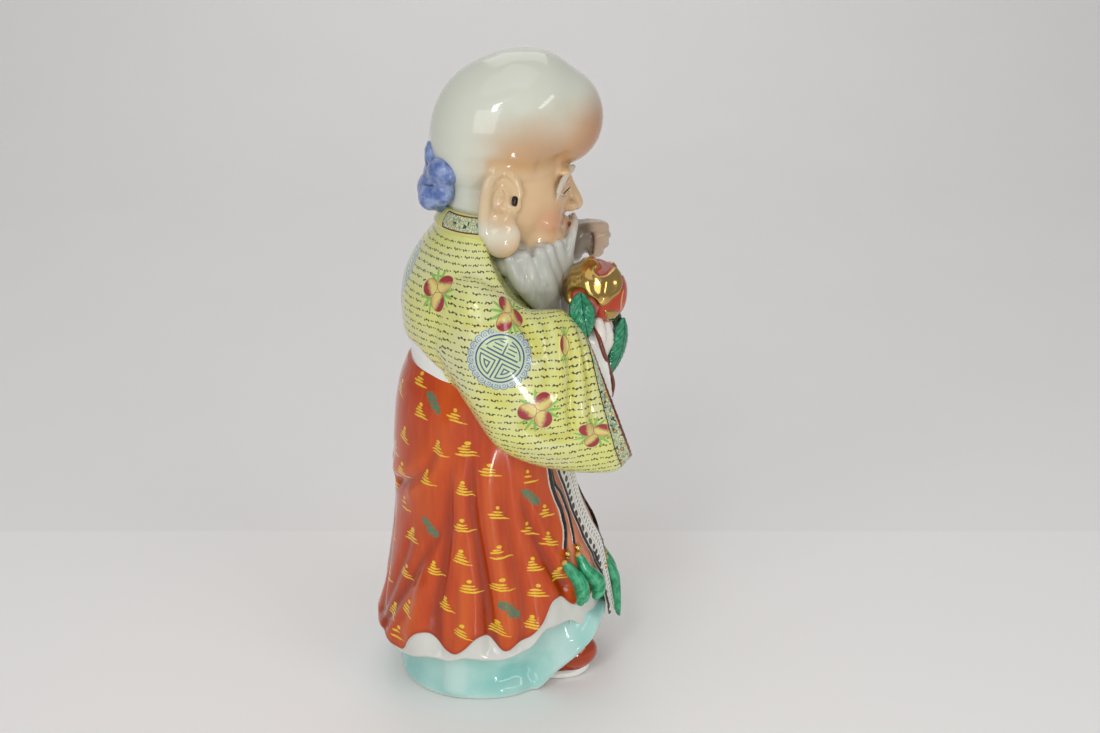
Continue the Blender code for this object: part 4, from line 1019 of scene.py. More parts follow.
def coat_enamel():
    g = Glaze("coat_enamel", roughness=0.13, coat=0.4)
    u, v = g.uv("cloth")
    mx, my = g.uv("motif")
    kind = (mx / 200.0 + 0.5).floor()
    x, y = mx - kind * 200.0, my

    def is_kind(k):
        return (abs(kind - k)).below(0.5)

    fold = g.field("fold")
    pool = g.noise(26.0, 3.0)
    yellow = g.mix(pool.rise(0.36, 0.66), (216, 218, 128), (216, 218, 158))
    yellow = g.mix((g.noise(9.0, 3.0) * 0.5 + fold * 0.9).rise(0.42, 1.5) * 0.45, yellow, (216, 208, 92))
    # painted shade: darker yellow down the pressed creases
    yellow = g.mix((-fold).rise(0.15, 1.2) * 0.75, yellow, (206, 204, 96))
    yellow = g.mix(g.field("edge").rise(16.0, 2.0) * 0.5, yellow, (220, 208, 84))

    # rows of wavy dashes, each followed by two dots
    pitch, period = 4.3, 9.0
    waver = (g.noise(38.0, 1.0) - 0.5) * 3.0
    row_at = (v + waver) / pitch
    row = row_at.floor()
    fy = (row_at.fract() - 0.5) * pitch
    shift = g.random(row, 3.0) * period
    cell_at = (u + shift + (g.noise(21.0, 1.0) - 0.5) * 3.0) / period
    cell = cell_at.floor()
    fx = (cell_at.fract() - 0.5) * period
    j1, j2, j3 = g.random(cell, row, 1.0), g.random(cell, row, 2.0), g.random(cell, row, 5.0)
    fy = fy + (j1 - 0.5) * 0.7
    wave = (fx * 2.0 + j2 * 6.0).sin() * 0.36 + (fx + 1.6) * (j1 - 0.5) * 0.20
    bulk = 0.48 + (fx * 3.7 + j3 * 5.0).sin() * 0.26
    long = (fy - wave)
    dash = (abs(long) - bulk).rise(0.10, -0.12) * (fx + 1.85).line(2.2, 0.35)
    dot1 = (abs(fy - 0.15) - 0.42).rise(0.10, -0.12) * (fx - 1.75 - j2 * 0.35).line(0.52, 0.22)
    dot2 = (abs(fy + 0.1 - j2 * 0.3) - 0.38).rise(0.10, -0.12) * (fx - 3.35).line(0.42, 0.22) * j3.above(0.3)
    ink = dash.max(dot1).max(dot2) * g.noise(1.3, 2.0).rise(0.22, 0.40)

    tone, clear = yellow, None
    covers = []
    tone, c = peach_cluster(g, x, y, is_kind(1), tone)
    covers.append(c * is_kind(1))
    tone, c = single_peach(g, x, y, is_kind(2), tone)
    covers.append(c * is_kind(2))
    tone, c = roundel(g, x, y, is_kind(3), tone)
    covers.append(c * is_kind(3))
    cover = covers[0].max(covers[1]).max(covers[2])
    border = g.field("edge")
    ink = ink * (1.0 - cover) * border.rise(2.0, 2.4)
    tone = g.mix(ink * 0.94, tone, (56, 32, 22))
    tone = g.mix((border - 1.9).line(0.17, 0.12) * 0.85, tone, (104, 74, 34))

    # cuff band
    rim = g.field("rim")
    width = g.field("band")
    band = (width - rim).rise(-0.1, 0.1)
    z = g.xyz()[2]
    tone = g.mix(band, tone, mosaic(g, rim * 1.0, v))
    tone = g.mix((rim - width).line(0.34, 0.12), tone, (46, 34, 34))
    tone = g.mix((rim - width - 0.9).line(0.22, 0.12) * 0.6, tone, (196, 178, 70))
    tone = g.mix(rim.rise(1.25, 0.95), tone, (112, 38, 30))

    # plain white inside the cuffs and below the coat's hem
    hollow, hem = g.field("hollow"), g.field("hem")
    white = g.mix(g.noise(12.0, 2.0), (232, 232, 226), (242, 241, 236))
    tone = g.mix(hollow.rise(1.1, 1.5), tone, white)
    tone = g.mix(hem.rise(0.1, -0.1), tone, white)
    tone = g.mix((hem - 0.3).line(0.26, 0.14) * 0.8, tone, (150, 120, 44))
    g.base(tone)
    g.rough(0.11 + g.noise(30.0, 2.0) * 0.08)
    g.bump(ink * 0.5 + cover * 0.25 + g.noise(5.0, 2.0) * 0.6, 0.05, 0.5)
    return g.material


def collar_enamel():
    g = Glaze("collar_enamel", roughness=0.12, coat=0.4)
    a, h = g.field("along"), g.field("across")
    tone = mosaic(g, a, h)
    back = (24.0 - a).max(0.0)
    out = (back * back + h * h).sqrt()
    tone = g.mix(out.rise(3.9, 4.2), tone, (208, 206, 124))
    tone = g.mix((out - 3.9).line(0.36, 0.12), tone, (110, 46, 34))
    g.base(tone)
    g.bump(g.noise(1.4, 2.0), 0.06, 0.6)
    return g.material


def skirt_enamel():
    g = Glaze("skirt_enamel", roughness=0.12, coat=0.45)
    edge, fold, deg, up = g.field("edge"), g.field("fold"), g.field("deg"), g.field("up")
    mx, my = g.uv("motif")
    index = (mx / 200.0 + 0.5).floor()
    kind = (my / 200.0 + 0.5).floor()
    x0, y0 = mx - index * 200.0, my - kind * 200.0
    streak = g.noise(3.2, 3.0, stretch=(1.0, 1.0, 0.10))
    broad = g.noise(20.0, 3.0, stretch=(1.0, 1.0, 0.35))
    tone = g.mix(broad.rise(0.34, 0.68), (184, 60, 4), (200, 78, 8))
    tone = g.mix(streak.rise(0.45, 0.75) * 0.25, tone, (214, 98, 22))
    # painted shade darkens the carved creases, and painted light pales the fold ridges
    tone = g.mix((-fold).rise(0.2, 3.2) * 0.7, tone, (138, 38, 4))
    tone = g.mix(fold.rise(0.25, 1.7) * 0.45, tone, (216, 104, 34))
    tone = g.mix(up.rise(46.0, 10.0) * 0.25, tone, (214, 104, 44))
    tone = g.mix(edge.rise(3.2, 0.3) * 0.5, tone, (152, 42, 6))
    # front panel between the sash ends, paler, with thin ochre lines
    front = abs(deg - 270.0)
    panel = front.rise(46.0, 43.5)
    pink = g.mix(streak.rise(0.3, 0.7), (214, 118, 82), (228, 146, 112))
    tone = g.mix(panel * 0.9, tone, pink)
    lines = ((front + (up - 110.0) * 0.04) / 4.6).fract() - 0.5
    tone = g.mix(lines.line(0.05, 0.05) * panel * 0.75, tone, (186, 122, 48))

    # yellow cloud marks: a blob over shrinking level strokes
    r1, r2, r3 = g.random(index, 1.0), g.random(index, 2.0), g.random(index, 3.0)
    bend = (g.noise(4.5, 2.0) - 0.5)
    lean = 0.02 + r3 * 0.30
    x = (x0 - y0 * lean) * (1.0 + (r1 - 0.5) * 0.25) + bend * 2.2
    y = y0 + x0 * lean + bend * 1.4
    grain = g.noise(1.1, 3.0, stretch=(1.0, 1.0, 2.2))

    def stroke(cx, cy, half, thick):
        """Brush stroke, thick at its start and dry at its end."""
        t = (x - cx) / half
        body = (1.0 - t * t).max(0.0).sqrt() * thick * (1.0 - (t * 0.25))
        return (body - abs(y - cy)).rise(-0.10, 0.22) * t.line(1.0, 0.04)

    marks = stroke((r1 - 0.3) * 3.2 + 0.6, -3.5, 6.2, 0.62)
    marks = marks.max(stroke((r2 - 0.7) * 3.0, -1.75, 4.6, 0.66) * r3.above(0.12))
    marks = marks.max(stroke((r1 - 0.9) * 2.4, 0.0, 3.3, 0.66) * (1.0 - r2 * r1).above(0.25))
    marks = marks.max(stroke(-r2 * 1.8, 1.6, 2.2, 0.6) * r2.above(0.45))
    bx, by = x + 0.4 + r3 * 1.6, y - 2.6 - r2 * 1.2
    marks = marks.max((bx * bx * 0.7 + by * by * 1.2).sqrt().rise(1.45, 0.95))
    marks = marks * grain.rise(0.26, 0.44) * (abs(kind - 1.0)).below(0.5)
    gold = g.mix(grain, (226, 180, 24), (244, 218, 66))
    tone = g.mix(marks * 0.93, tone, gold)

    # teal sprigs: a bent row of dabs
    dabs = None
    for cx, cy, rx, ry in ((-4.6, 4.4, 1.5, 2.3), (-2.2, 5.0, 1.2, 1.8), (-2.4, 1.6, 2.3, 1.5), (0.6, 2.6, 1.6, 2.0), (-0.2, -1.2, 1.8, 1.4),
                           (2.6, -0.6, 1.6, 2.1), (1.6, -3.6, 2.0, 1.3), (4.8, -3.4, 1.5, 1.9), (4.6, -5.6, 2.2, 1.1)):
        e, _, _ = disc(g, x0 * 0.95 + bend * 2.6, y0 * 0.95 + bend * 2.6, cx * 0.85, cy * 0.85, rx, ry, 10)
        one = e.rise(1.05, 0.75)
        dabs = one if dabs is None else dabs.max(one)
    dabs = dabs * (abs(kind - 2.0)).below(0.5)
    tone = g.mix(dabs * 0.85, tone, g.mix(g.noise(1.6, 2.0), (34, 104, 84), (78, 142, 104)))

    # turned-out white lining under the rippled edge, its white kept greyer than the other whites as painted shade under
    # the orange lip
    white = g.mix(g.noise(14.0, 2.0), (204, 205, 198), (216, 217, 210))
    tone = g.mix((edge + (g.noise(1.6, 2.0) - 0.5) * 0.35).rise(0.22, -0.22), tone, white)
    g.base(tone)
    g.rough(0.10 + broad * 0.07)
    g.bump(g.noise(7.0, 2.0) * 1.0 + marks * 0.25 + streak * 0.3, 0.07, 0.5)
    return g.material


def celadon():
    g = Glaze("celadon_glaze", roughness=0.10, coat=0.45)
    hollow, rim = g.field("hollow"), g.field("rim")
    soft = g.noise(22.0, 3.0)
    # painted shade: deeper teal in the billows' hollows; painted light (below): paler teal on their outward swells
    wash = (soft * 0.85 + (-hollow).rise(-0.3, 4.5) * 0.38)
    tone = g.mix(wash.rise(0.18, 1.0), (178, 218, 210), (122, 196, 188))
    tone = g.mix(rim.rise(5.0, 0.6) * 0.55, tone, (216, 224, 216))
    tone = g.mix(hollow.rise(0.4, 1.8) * 0.4, tone, (206, 226, 220))
    tone = g.mix(rim.rise(0.15, -0.4) * 0.8, tone, (214, 206, 190))
    g.base(tone)
    g.bump(g.noise(9.0, 2.0), 0.06, 0.5)
    return g.material


def white_glaze(name="white_glaze", low=(228, 229, 222), high=(240, 240, 234)):
    g = Glaze(name, roughness=0.10, coat=0.4)
    tone = g.mix(g.noise(11.0, 3.0), low, high)
    tone = g.mix(g.noise(0.9, 1.0).rise(0.78, 0.82) * 0.25, tone, (150, 140, 124))
    g.base(tone)
    g.bump(g.noise(8.0, 2.0), 0.06, 0.5)
    return g.material


def flesh_glaze():
    """Pale dome warming to tan over the brow and face, rosy at the cheeks."""
    g = Glaze("flesh_glaze", roughness=0.09, coat=0.45)
    x, y, z = g.xyz()
    n = g.noise(24.0, 3.0)
    pale = g.mix(n, (208, 212, 196), (216, 218, 204))
    front = -y
    brow = (z - 331.0 - front * 0.10 + (n - 0.5) * 14.0)
    under = brow.rise(24.0, -8.0) * (front + (n - 0.5) * 14.0).rise(-20.0, 8.0)
    tone = g.mix(under * 0.9, pale, (196, 150, 104))
    nose = (front + (n - 0.5) * 6.0).rise(34.0, 60.0) * z.rise(306.0, 318.0) * z.rise(368.0, 334.0)
    tone = g.mix(nose * 0.8, tone, (186, 130, 92))
    # painted shade: darker tan along the pressed crease between the dome and the brow
    brow_crease_shade = g.field("brow_crease_shade")
    tone = g.mix(brow_crease_shade.rise(0.05, 1.0) * 0.6, tone, (200, 156, 100))
    face = z.rise(322.0, 313.0) * (front).rise(-3.0, 9.0)
    tone = g.mix(face * 0.92, tone, g.mix(g.noise(16.0, 2.0), (220, 184, 138), (226, 196, 156)))
    cheek, _, _ = disc(g, y, z, -31.0, 287.0, 13.0, 11.0)
    tone = g.mix(cheek.rise(1.4, 0.0) * 0.6 * face, tone, (204, 132, 98))
    ear = g.field("ear")
    tone = g.mix(ear * z.rise(286.0, 296.0) * 0.8, tone, (218, 190, 148))
    tone = g.mix(ear * z.rise(293.0, 283.0) * 0.75, tone, (226, 224, 204))
    # painted shade: darker tan in the ear's pressed grooves
    tone = g.mix(g.field("ear_groove_shade").rise(0.1, 1.2) * 0.5, tone, (198, 158, 116))
    # painted shadow: near black in the pressed ear opening
    tone = g.mix(g.field("ear_hole_shadow").rise(1.9, 1.4), tone, (34, 26, 22))
    tone = g.mix(g.field("nape").rise(0.1, 1.0) * 0.5, tone, (170, 168, 150))
    lips = g.field("lips")
    tone = g.mix(lips.rise(1.9, 1.2) * 0.85, tone, (170, 74, 58))
    tone = g.mix(lips.rise(0.45, 0.25), tone, (92, 34, 30))
    g.base(tone)
    g.rough(0.08 + n * 0.05)
    g.bump(g.noise(10.0, 2.0), 0.06, 0.5)
    return g.material


def hair_glaze():
    """White hair brushed with soft grey strands."""
    g = Glaze("hair_glaze", roughness=0.11, coat=0.4)
    strand = g.noise(1.5, 3.0, stretch=(1.0, 1.0, 0.07))
    wide = g.noise(5.0, 2.0, stretch=(1.0, 1.0, 0.12))
    # the white is kept greyer than the other glazes' white: painted shade
    tone = g.mix(wide.rise(0.35, 0.7), (186, 188, 180), (206, 206, 198))
    tone = g.mix(strand.rise(0.55, 0.75) * 0.30, tone, (142, 148, 146))
    tone = g.mix(g.field("groove").rise(0.1, 1.4) * 0.5, tone, (158, 166, 156))
    tone = g.mix(g.xyz()[2].rise(276.0, 284.0) * 0.35, tone, (228, 196, 160))
    g.base(tone)
    g.bump(strand + wide * 0.8, 0.12, 0.7)
    return g.material


def scarf_enamel():
    g = Glaze("scarf_enamel", roughness=0.14, coat=0.4)
    n, m = g.noise(6.0, 4.0), g.noise(2.0, 3.0)
    tone = g.mix(n.rise(0.34, 0.66), (86, 110, 168), (146, 164, 204))
    tone = g.mix(m.rise(0.55, 0.75) * 0.5, tone, (58, 80, 148))
    # painted shade: dark navy down the pressed fold grooves
    tone = g.mix(g.field("groove").rise(0.15, 1.3) * 0.85, tone, (26, 34, 92))
    g.base(tone)
    g.bump(n, 0.08, 0.6)
    return g.material


def eye_glaze():
    g = Glaze("eye_glaze", roughness=0.08, coat=0.5)
    x, y, z = g.xyz()
    r = ((abs(x) - 13.0) * (abs(x) - 13.0) + (z - 303.4) * (z - 303.4)).sqrt()
    tone = g.mix(r.rise(2.7, 2.4), g.mix(g.noise(5.0), (226, 222, 210), (236, 232, 222)), (62, 42, 30))
    tone = g.mix(r.rise(1.3, 1.1), tone, (16, 14, 14))
    g.base(tone)
    g.bump(g.noise(4.0), 0.03, 0.3)
    return g.material


def line_enamel(name, dark, light):
    g = Glaze(name, roughness=0.16, coat=0.3)
    g.base(g.mix(g.noise(2.5, 3.0), dark, light))
    g.bump(g.noise(1.5, 2.0), 0.05, 0.5)
    return g.material


def gilding(name="gilding"):
    g = Glaze(name, roughness=0.13, metallic=1.0)
    n = g.noise(5.0, 3.0)
    g.base(g.mix(n, (196, 158, 82), (214, 184, 116)))
    g.rough(0.10 + n * 0.10)
    g.bump(g.noise(2.2, 2.0), 0.04, 0.5)
    return g.material


def peach_enamel():
    """Gilt wings over a rosy peach, with the red body in front."""
    g = Glaze("peach_enamel", roughness=0.12, coat=0.3)
    wing, red, stroke = g.field("wing"), g.field("body"), g.field("stroke")
    n = g.noise(8.0, 3.0)
    x, y, z = g.xyz()
    fine = (g.noise(1.4, 2.0) - 0.5) * 0.5
    tone = g.mix(n.rise(0.35, 0.65), (158, 96, 98), (176, 122, 112))
    tone = g.mix(g.noise(1.8, 3.0).rise(0.55, 0.75) * 0.4, tone, (142, 66, 84))
    tone = g.mix((red + fine).rise(-0.3, 0.3), tone, g.mix(n, (166, 44, 22), (196, 70, 34)))
    tone = g.mix((stroke + fine * 0.4).rise(0.95, 0.55), tone, (222, 150, 78))
    tone = g.mix((wing + 0.8).line(1.0, 0.25), tone, (176, 66, 36))
    gilt = (wing + fine * 0.5).rise(-0.15, 0.15)
    tone = g.mix(gilt, tone, g.mix(n, (184, 146, 72), (204, 172, 104)))
    g.base(tone)
    g.metal(gilt)
    g.rough(0.10 + n * 0.06)
    g.bump(g.noise(3.5, 2.0), 0.06, 0.6)
    return g.material


def leaf_enamel():
    g = Glaze("leaf_enamel", roughness=0.12, coat=0.4)
    a, t = g.field("along"), g.field("across")
    n = g.noise(3.0, 3.0)
    tone = g.mix(n.rise(0.3, 0.7), (22, 122, 84), (60, 158, 116))
    mid = t.line(0.30, 0.15)
    veins = (((a - abs(t) * 1.1) / 3.3).fract() - 0.5) * 3.3
    ink = mid.max(veins.line(0.20, 0.14) * abs(t).rise(5.4, 4.8))
    tone = g.mix(ink * 0.85, tone, (10, 44, 36))
    tone = g.mix(g.field("margin").rise(0.7, 0.3) * 0.6, tone, (12, 60, 44))
    g.base(tone)
    g.bump(ink * -0.6 + n * 0.5, 0.12, 0.6)
    return g.material


def hand_glaze():
    g = Glaze("hand_glaze", roughness=0.10, coat=0.4)
    x, y, z = g.xyz()
    n = g.noise(9.0, 3.0)
    # the grey is painted shade on the back of the fist; warm is the flesh at the fingers
    grey = g.mix(n, (138, 124, 110), (160, 148, 132))
    warm = g.mix(n, (190, 160, 136), (202, 178, 156))
    tone = g.mix((-y + (n - 0.5) * 5.0).rise(58.0, 63.0), grey, warm)
    tone = g.mix(z.rise(248.5, 245.5) * (x.above(10.0)), tone, g.mix(n, (196, 196, 188), (210, 210, 203)))
    # painted shade: dark brown between the fingers and in the palm creases
    tone = g.mix(g.field("groove").rise(0.15, 1.3) * 0.75, tone, (112, 74, 58))
    g.base(tone)
    g.bump(g.noise(6.0, 2.0), 0.06, 0.5)
    return g.material


def shoe_enamel():
    g = Glaze("shoe_enamel", roughness=0.10, coat=0.45)
    x, y, z = g.xyz()
    n = g.noise(6.0, 3.0)
    tone = g.mix(n, (160, 50, 16), (188, 74, 32))
    sole = z - 5.4 - (-y - 44.0).rise(0.0, 12.0) * 1.8
    tone = g.mix(sole.rise(0.2, -0.2), tone, (238, 238, 232))
    tone = g.mix((sole - 0.2).line(0.35, 0.15) * 0.7, tone, (128, 42, 20))
    g.base(tone)
    g.bump(n, 0.06, 0.5)
    return g.material


def tassel_enamel():
    g = Glaze("tassel_enamel", roughness=0.14, coat=0.45)
    a, c, s = g.field("along"), g.field("cosine"), g.field("sine")
    turn = s.atan2(c)
    strand = ((turn * 4.0 + a * 0.10).sin() * 0.5 + 0.5)
    n = g.noise(4.0, 3.0)
    tone = g.mix(n.rise(0.3, 0.7), (26, 138, 88), (70, 178, 130))
    # painted shade between the twisted strands and painted highlight on their crests
    tone = g.mix(strand.rise(0.20, 0.0) * 0.4, tone, (16, 92, 60))
    tone = g.mix(strand.rise(0.80, 1.0) * 0.3, tone, (120, 200, 160))
    tone = g.mix(a.rise(2.0, 1.2), tone, (214, 168, 84))
    g.base(tone)
    g.bump(strand, 0.35, 0.7)
    return g.material


def ribbon_enamel():
    g = Glaze("ribbon_enamel", roughness=0.14, coat=0.35)
    a, t = g.field("along"), g.field("across")
    n = g.noise(3.0, 3.0)
    tone = g.mix(n, (222, 220, 210), (236, 234, 226))
    cell = (a / 5.2)
    fy = (cell.fract() - 0.5) * 5.2
    jig = (g.random(cell.floor(), 2.0) - 0.5) * 0.6
    oval, _, _ = disc(g, t + jig * 0.5, fy, -3.4, 0.0, 1.35, 2.15, 20)
    ink = oval.rise(1.05, 0.85)
    small = (((a + 1.7) / 2.9).fract() - 0.5) * 2.9
    speck, _, _ = disc(g, t, small, 1.4, 0.0, 1.5, 0.55, -30)
    tone = g.mix(speck.rise(1.05, 0.8) * 0.75, tone, (84, 88, 106))
    speck, _, _ = disc(g, t, ((a / 2.9).fract() - 0.5) * 2.9, 3.9, 0.0, 0.8, 0.55, 20)
    tone = g.mix(speck.rise(1.05, 0.8) * 0.6, tone, (112, 92, 86))
    tone = g.mix(ink * 0.92, tone, (30, 26, 32))
    edge_t = g.field("half") - abs(t)
    tone = g.mix(edge_t.rise(0.75, 0.45), tone, (30, 22, 22))
    tone = g.mix((t + 1.1).line(0.16, 0.1) * 0.7, tone, (96, 80, 78))
    g.base(tone)
    g.bump(ink * 0.4 + n * 0.3, 0.06, 0.5)
    return g.material


def cord_enamel():
    g = Glaze("cord_enamel", roughness=0.15, coat=0.4)
    a, c, s = g.field("along"), g.field("cosine"), g.field("sine")
    twist = (s.atan2(c) + a * 1.1).sin()
    n = g.noise(2.5, 2.0)
    tone = g.mix(n, (18, 14, 16), (36, 28, 28))
    tone = g.mix((abs(c) + (n - 0.5) * 0.3).rise(0.66, 0.78), tone, (206, 196, 180))
    g.base(tone)
    g.bump(twist, 0.12, 0.5)
    return g.material


def belt_enamel():
    g = Glaze("belt_enamel", roughness=0.14, coat=0.4)
    a, h = g.field("along"), g.field("across")
    tone = mosaic(g, a, h)
    tone = g.mix((abs(h) - 4.2).line(0.45, 0.14), tone, (176, 128, 58))
    g.base(tone)
    g.bump(g.noise(1.4, 2.0), 0.06, 0.5)
    return g.material


# ================================================================ motif places
def frames(centre, normal, turn=0.0, right=CAMERA_RIGHT):
    """Right and up directions on the surface at a motif, turned by degrees."""
    normal = np.asarray(normal, float) / np.linalg.norm(normal)
    a = right - normal * (right @ normal)
    a /= np.linalg.norm(a)
    b = np.cross(normal, a)
    if b[2] < 0:
        b = -b
    c, s = math.cos(math.radians(turn)), math.sin(math.radians(turn))
    return a * c + b * s, b * c - a * s


COAT_MOTIFS = [  # kind, middle, reach, turn, across scale, up scale
    (1, (-46.6, 35.1, 254.8), 15.5, 90.0, 1.0, 1.0),
    (1, (-67.2, -3.1, 246.6), 15.0, 180.0, 1.15, 1.0),
    (2, (-65.6, -33.2, 227.5), 12.0, 0.0, 1.25, 1.0),
    (1, (-76.8, -17.2, 193.8), 16.0, 0.0, 1.0, 1.0),
    (1, (-65.6, -48.6, 175.3), 15.0, 75.0, 1.35, 1.0),
    (3, (-77.5, 3.1, 224.7), 19.0, -28.0, 1.0, 1.0),
]


def motif_uv(verts, faces, motifs, normals):
    """Local motif coordinates in mm at every face corner, offset by the kind of motif."""
    f = np.asarray(faces)
    mid = verts[f].mean(1)
    fn = normals[f].mean(1)
    kind = np.zeros(len(f), int)
    best = np.full(len(f), 1e9)
    chosen = np.full(len(f), -1)
    for i, (k, centre, reach, a, b, n) in enumerate(motifs):
        d = mid - centre
        lx, ly, lz = d @ a, d @ b, d @ n
        r = np.sqrt(lx * lx + ly * ly)
        ok = (r < reach) & (np.abs(lz) < 14) & (fn @ n > 0.0) & (r / reach < best)
        best[ok] = (r / reach)[ok]
        chosen[ok] = i
    uv = np.zeros((len(f), f.shape[1], 2))
    for i, (k, centre, reach, a, b, n) in enumerate(motifs):
        pick = np.where(chosen == i)[0]
        d = verts[f[pick]] - centre
        uv[pick, :, 0] = d @ a + 200.0 * k
        uv[pick, :, 1] = d @ b
    return uv.reshape(-1, 2)


# ================================================================ coat
def make_coat():
    forms = [coat_body(), sleeve(RIGHT_SLEEVE), sleeve(LEFT_SLEEVE)]
    verts, faces = fused("coat", forms, 1.13, 7)
    normals = normals_of(verts, faces)
    plain = verts
    verts, moved = press(verts, normals, sleeve_lines())
    verts = calmed(verts, faces, 2)
    normals = normals_of(verts, faces)

    cloths = [body_cloth(), sleeve_cloth(RIGHT_SLEEVE, -1), sleeve_cloth(LEFT_SLEEVE, 1)]
    near = np.zeros((3, len(verts), 4))
    for k, cloth in enumerate(cloths):
        near[k] = read_cloth(cloth, plain)
    dist = near[:, :, 0].copy()
    dist[1, verts[:, 0] > 4] = 1e6
    dist[2, verts[:, 0] < -4] = 1e6
    which = dist.argmin(0)
    f = np.asarray(faces)
    face_which = np.where((which[f] == 0).sum(1) >= 2, 0, np.where(verts[f].mean(1)[:, 0] < 0, 1, 2))
    u = near[face_which[:, None], f, 1]
    v = near[face_which[:, None], f, 2]
    cloth_uv = np.stack([u + 500.0 * face_which[:, None], v], -1).reshape(-1, 2)

    # distance from each cuff's rim, and the cavity behind it
    rim = np.full(len(verts), 99.0)
    band = np.full(len(verts), 8.0)
    hollow = np.zeros(len(verts))
    under = np.full(len(verts), 99.0)
    a = 2 * np.pi * np.arange(160) / 160
    for stations, k, side in ((RIGHT_SLEEVE, 1, -1), (LEFT_SLEEVE, 2, 1)):
        cols = sleeve_stations(stations, 60)
        ring = sleeve_ring(cols, 59, a)
        mine = np.where((verts[:, 0] * side > 0) & (verts[:, 1] < -20))[0]
        d, _ = distance_to(verts[mine], np.concatenate([ring, ring[:1]]))
        rim[mine] = d
        share = ease((228.0 - verts[mine, 2]) / 70.0)
        band[mine] = 4.5 + 4.3 * share
        inside = dist[k][mine]
        hollow[mine] = np.where(d < 30, inside, 0.0)
        sleeve_side = np.where((which == k))[0]
        under[sleeve_side] = np.abs(near[k][sleeve_side, 3]) * 1.0
    ang = np.arctan2(verts[:, 1] - 8.0, verts[:, 0])
    hem = verts[:, 2] - around(COAT_HEM, ang)
    on_sleeve = (which != 0)
    blend = np.where(on_sleeve, 40.0, hem)
    edge = np.minimum(np.where(on_sleeve, under, 99.0), np.where(on_sleeve, 99.0, np.maximum(hem, 0)))
    edge = np.where((verts[:, 1] > 26) & on_sleeve, 99.0, edge)

    motifs = []
    tree = BVHTree.FromPolygons([tuple(p) for p in verts], [tuple(int(i) for i in q) for q in f])
    for kind, centre, reach, turn, sx, sy in COAT_MOTIFS:
        for side in (1, -1):
            c = np.array(centre, float) * (side, 1, 1)
            place, n, index, _ = tree.find_nearest(tuple(c))
            place, n = np.array(place), np.array(n)
            local = normals[((verts - place) ** 2).sum(1) < 90.0].mean(0)
            n = local / np.linalg.norm(local)
            right = CAMERA_RIGHT * (side, 1, 1)
            p, q = frames(place, n, turn, right)
            motifs.append((kind, place, reach, p * sx, q * sy, n))
    place, n, _, _ = tree.find_nearest((0.0, 62.0, 262.0))
    place, n = np.array(place), normals[((verts - np.array(place)) ** 2).sum(1) < 60.0].mean(0)
    p, q = frames(place, n, 0.0, np.array((-1.0, 0.0, 0.0)))
    motifs.append((3, place, 19.0, p, q, n / np.linalg.norm(n)))
    place, n, _, _ = tree.find_nearest((0.0, 72.0, 232.5))
    place, n = np.array(place), normals[((verts - np.array(place)) ** 2).sum(1) < 60.0].mean(0)
    n /= np.linalg.norm(n)
    p, q = frames(place, n, 90.0, np.array((-1.0, 0.0, 0.0)))
    motifs.append((1, place, 15.0, p, q, n))

    return piece("coat", verts, faces, coat_enamel(),
                 uvs={"cloth": cloth_uv, "motif": motif_uv(verts, faces, motifs, normals)},
                 fields={"fold": moved, "rim": rim, "band": band, "hollow": hollow, "hem": blend, "edge": edge})


def make_collar():
    rows = [(276, 34.0, 20, 32.5), (281.2, 38.2, 22.6, 34.6), (282.8, 38.4, 22.8, 34.8), (284.0, 37.8, 22.4, 34.2), (286.8, 35.6, 21.4, 32.2),
            (290.0, 33.4, 20.2, 30.4), (291.4, 32.6, 19.6, 29.6), (292.3, 31.4, 18.8, 28.6), (292.1, 29.6, 17.6, 27.2), (289, 27.0, 15.0, 24.5), (279, 22.0, 12.0, 20.0)]
    s = np.arange(len(rows), dtype=float)
    fine = np.linspace(0, len(rows) - 1, 60)
    cols = [smooth_curve(s, [r[i] for r in rows], fine) for i in range(4)]
    n = 260
    rings = []
    for z, w, fr, b in zip(*cols):
        r = horizontal(z, w, fr, b, n=n, power=2.1, middle=4.0)
        a = 2 * np.pi * np.arange(n) / n
        r[:, 2] += 1.6 * np.maximum(np.sin(a), 0) ** 2
        tuck = ease((2.0 - r[:, 1]) / 5.0)
        r[:, 0] *= 1 - 0.30 * tuck
        rings.append(r)
    verts, faces = loft(rings)
    a = np.degrees(np.arctan2(verts[:, 1] - 4.0, verts[:, 0]))
    height = verts[:, 2] - 1.6 * np.maximum(np.sin(np.radians(a)), 0) ** 2
    along = np.abs(a - 90.0)
    along = np.where(along > 180, 360 - along, along) * 0.62
    return piece("collar", verts, faces, collar_enamel(), fields={"along": along, "across": height - 287.5})


# ================================================================ skirt and underskirt
CLOUDS = [
    (126.3, 198.4), (132.3, 180.9), (158.6, 182.0), (117.5, 162.9), (147.6, 161.4), (166.2, 162.4), (116.1, 141.2), (139.3, 142.2),
    (179.0, 150.5), (205.1, 143.3), (163.6, 138.6), (116.2, 119.9), (215.9, 119.9), (183.1, 123.9), (162.7, 116.2), (201.5, 111.2),
    (126.3, 102.5), (213.6, 102.2), (182.8, 99.6), (162.5, 96.3), (145.6, 86.9), (124.0, 78.6), (200.6, 89.3), (183.6, 79.5),
    (167.6, 78.5), (202.8, 73.1), (216.6, 79.3), (116.5, 51.4), (130.6, 58.7), (153.4, 65.8), (164.5, 51.1), (198.6, 54.0),
    (126.6, 42.1), (181.5, 52.5),
]
SPRIGS = [(141.6, 187.2), (139.9, 111.1), (205.3, 130.1), (186.3, 63.3)]
BACK_CLOUDS = [(104, 188), (76, 184), (90, 168), (102, 150), (78, 146), (98, 128), (82, 112), (100, 96), (78, 88), (104, 70), (84, 62)]
BACK_SPRIGS = [(90, 140), (92, 78)]


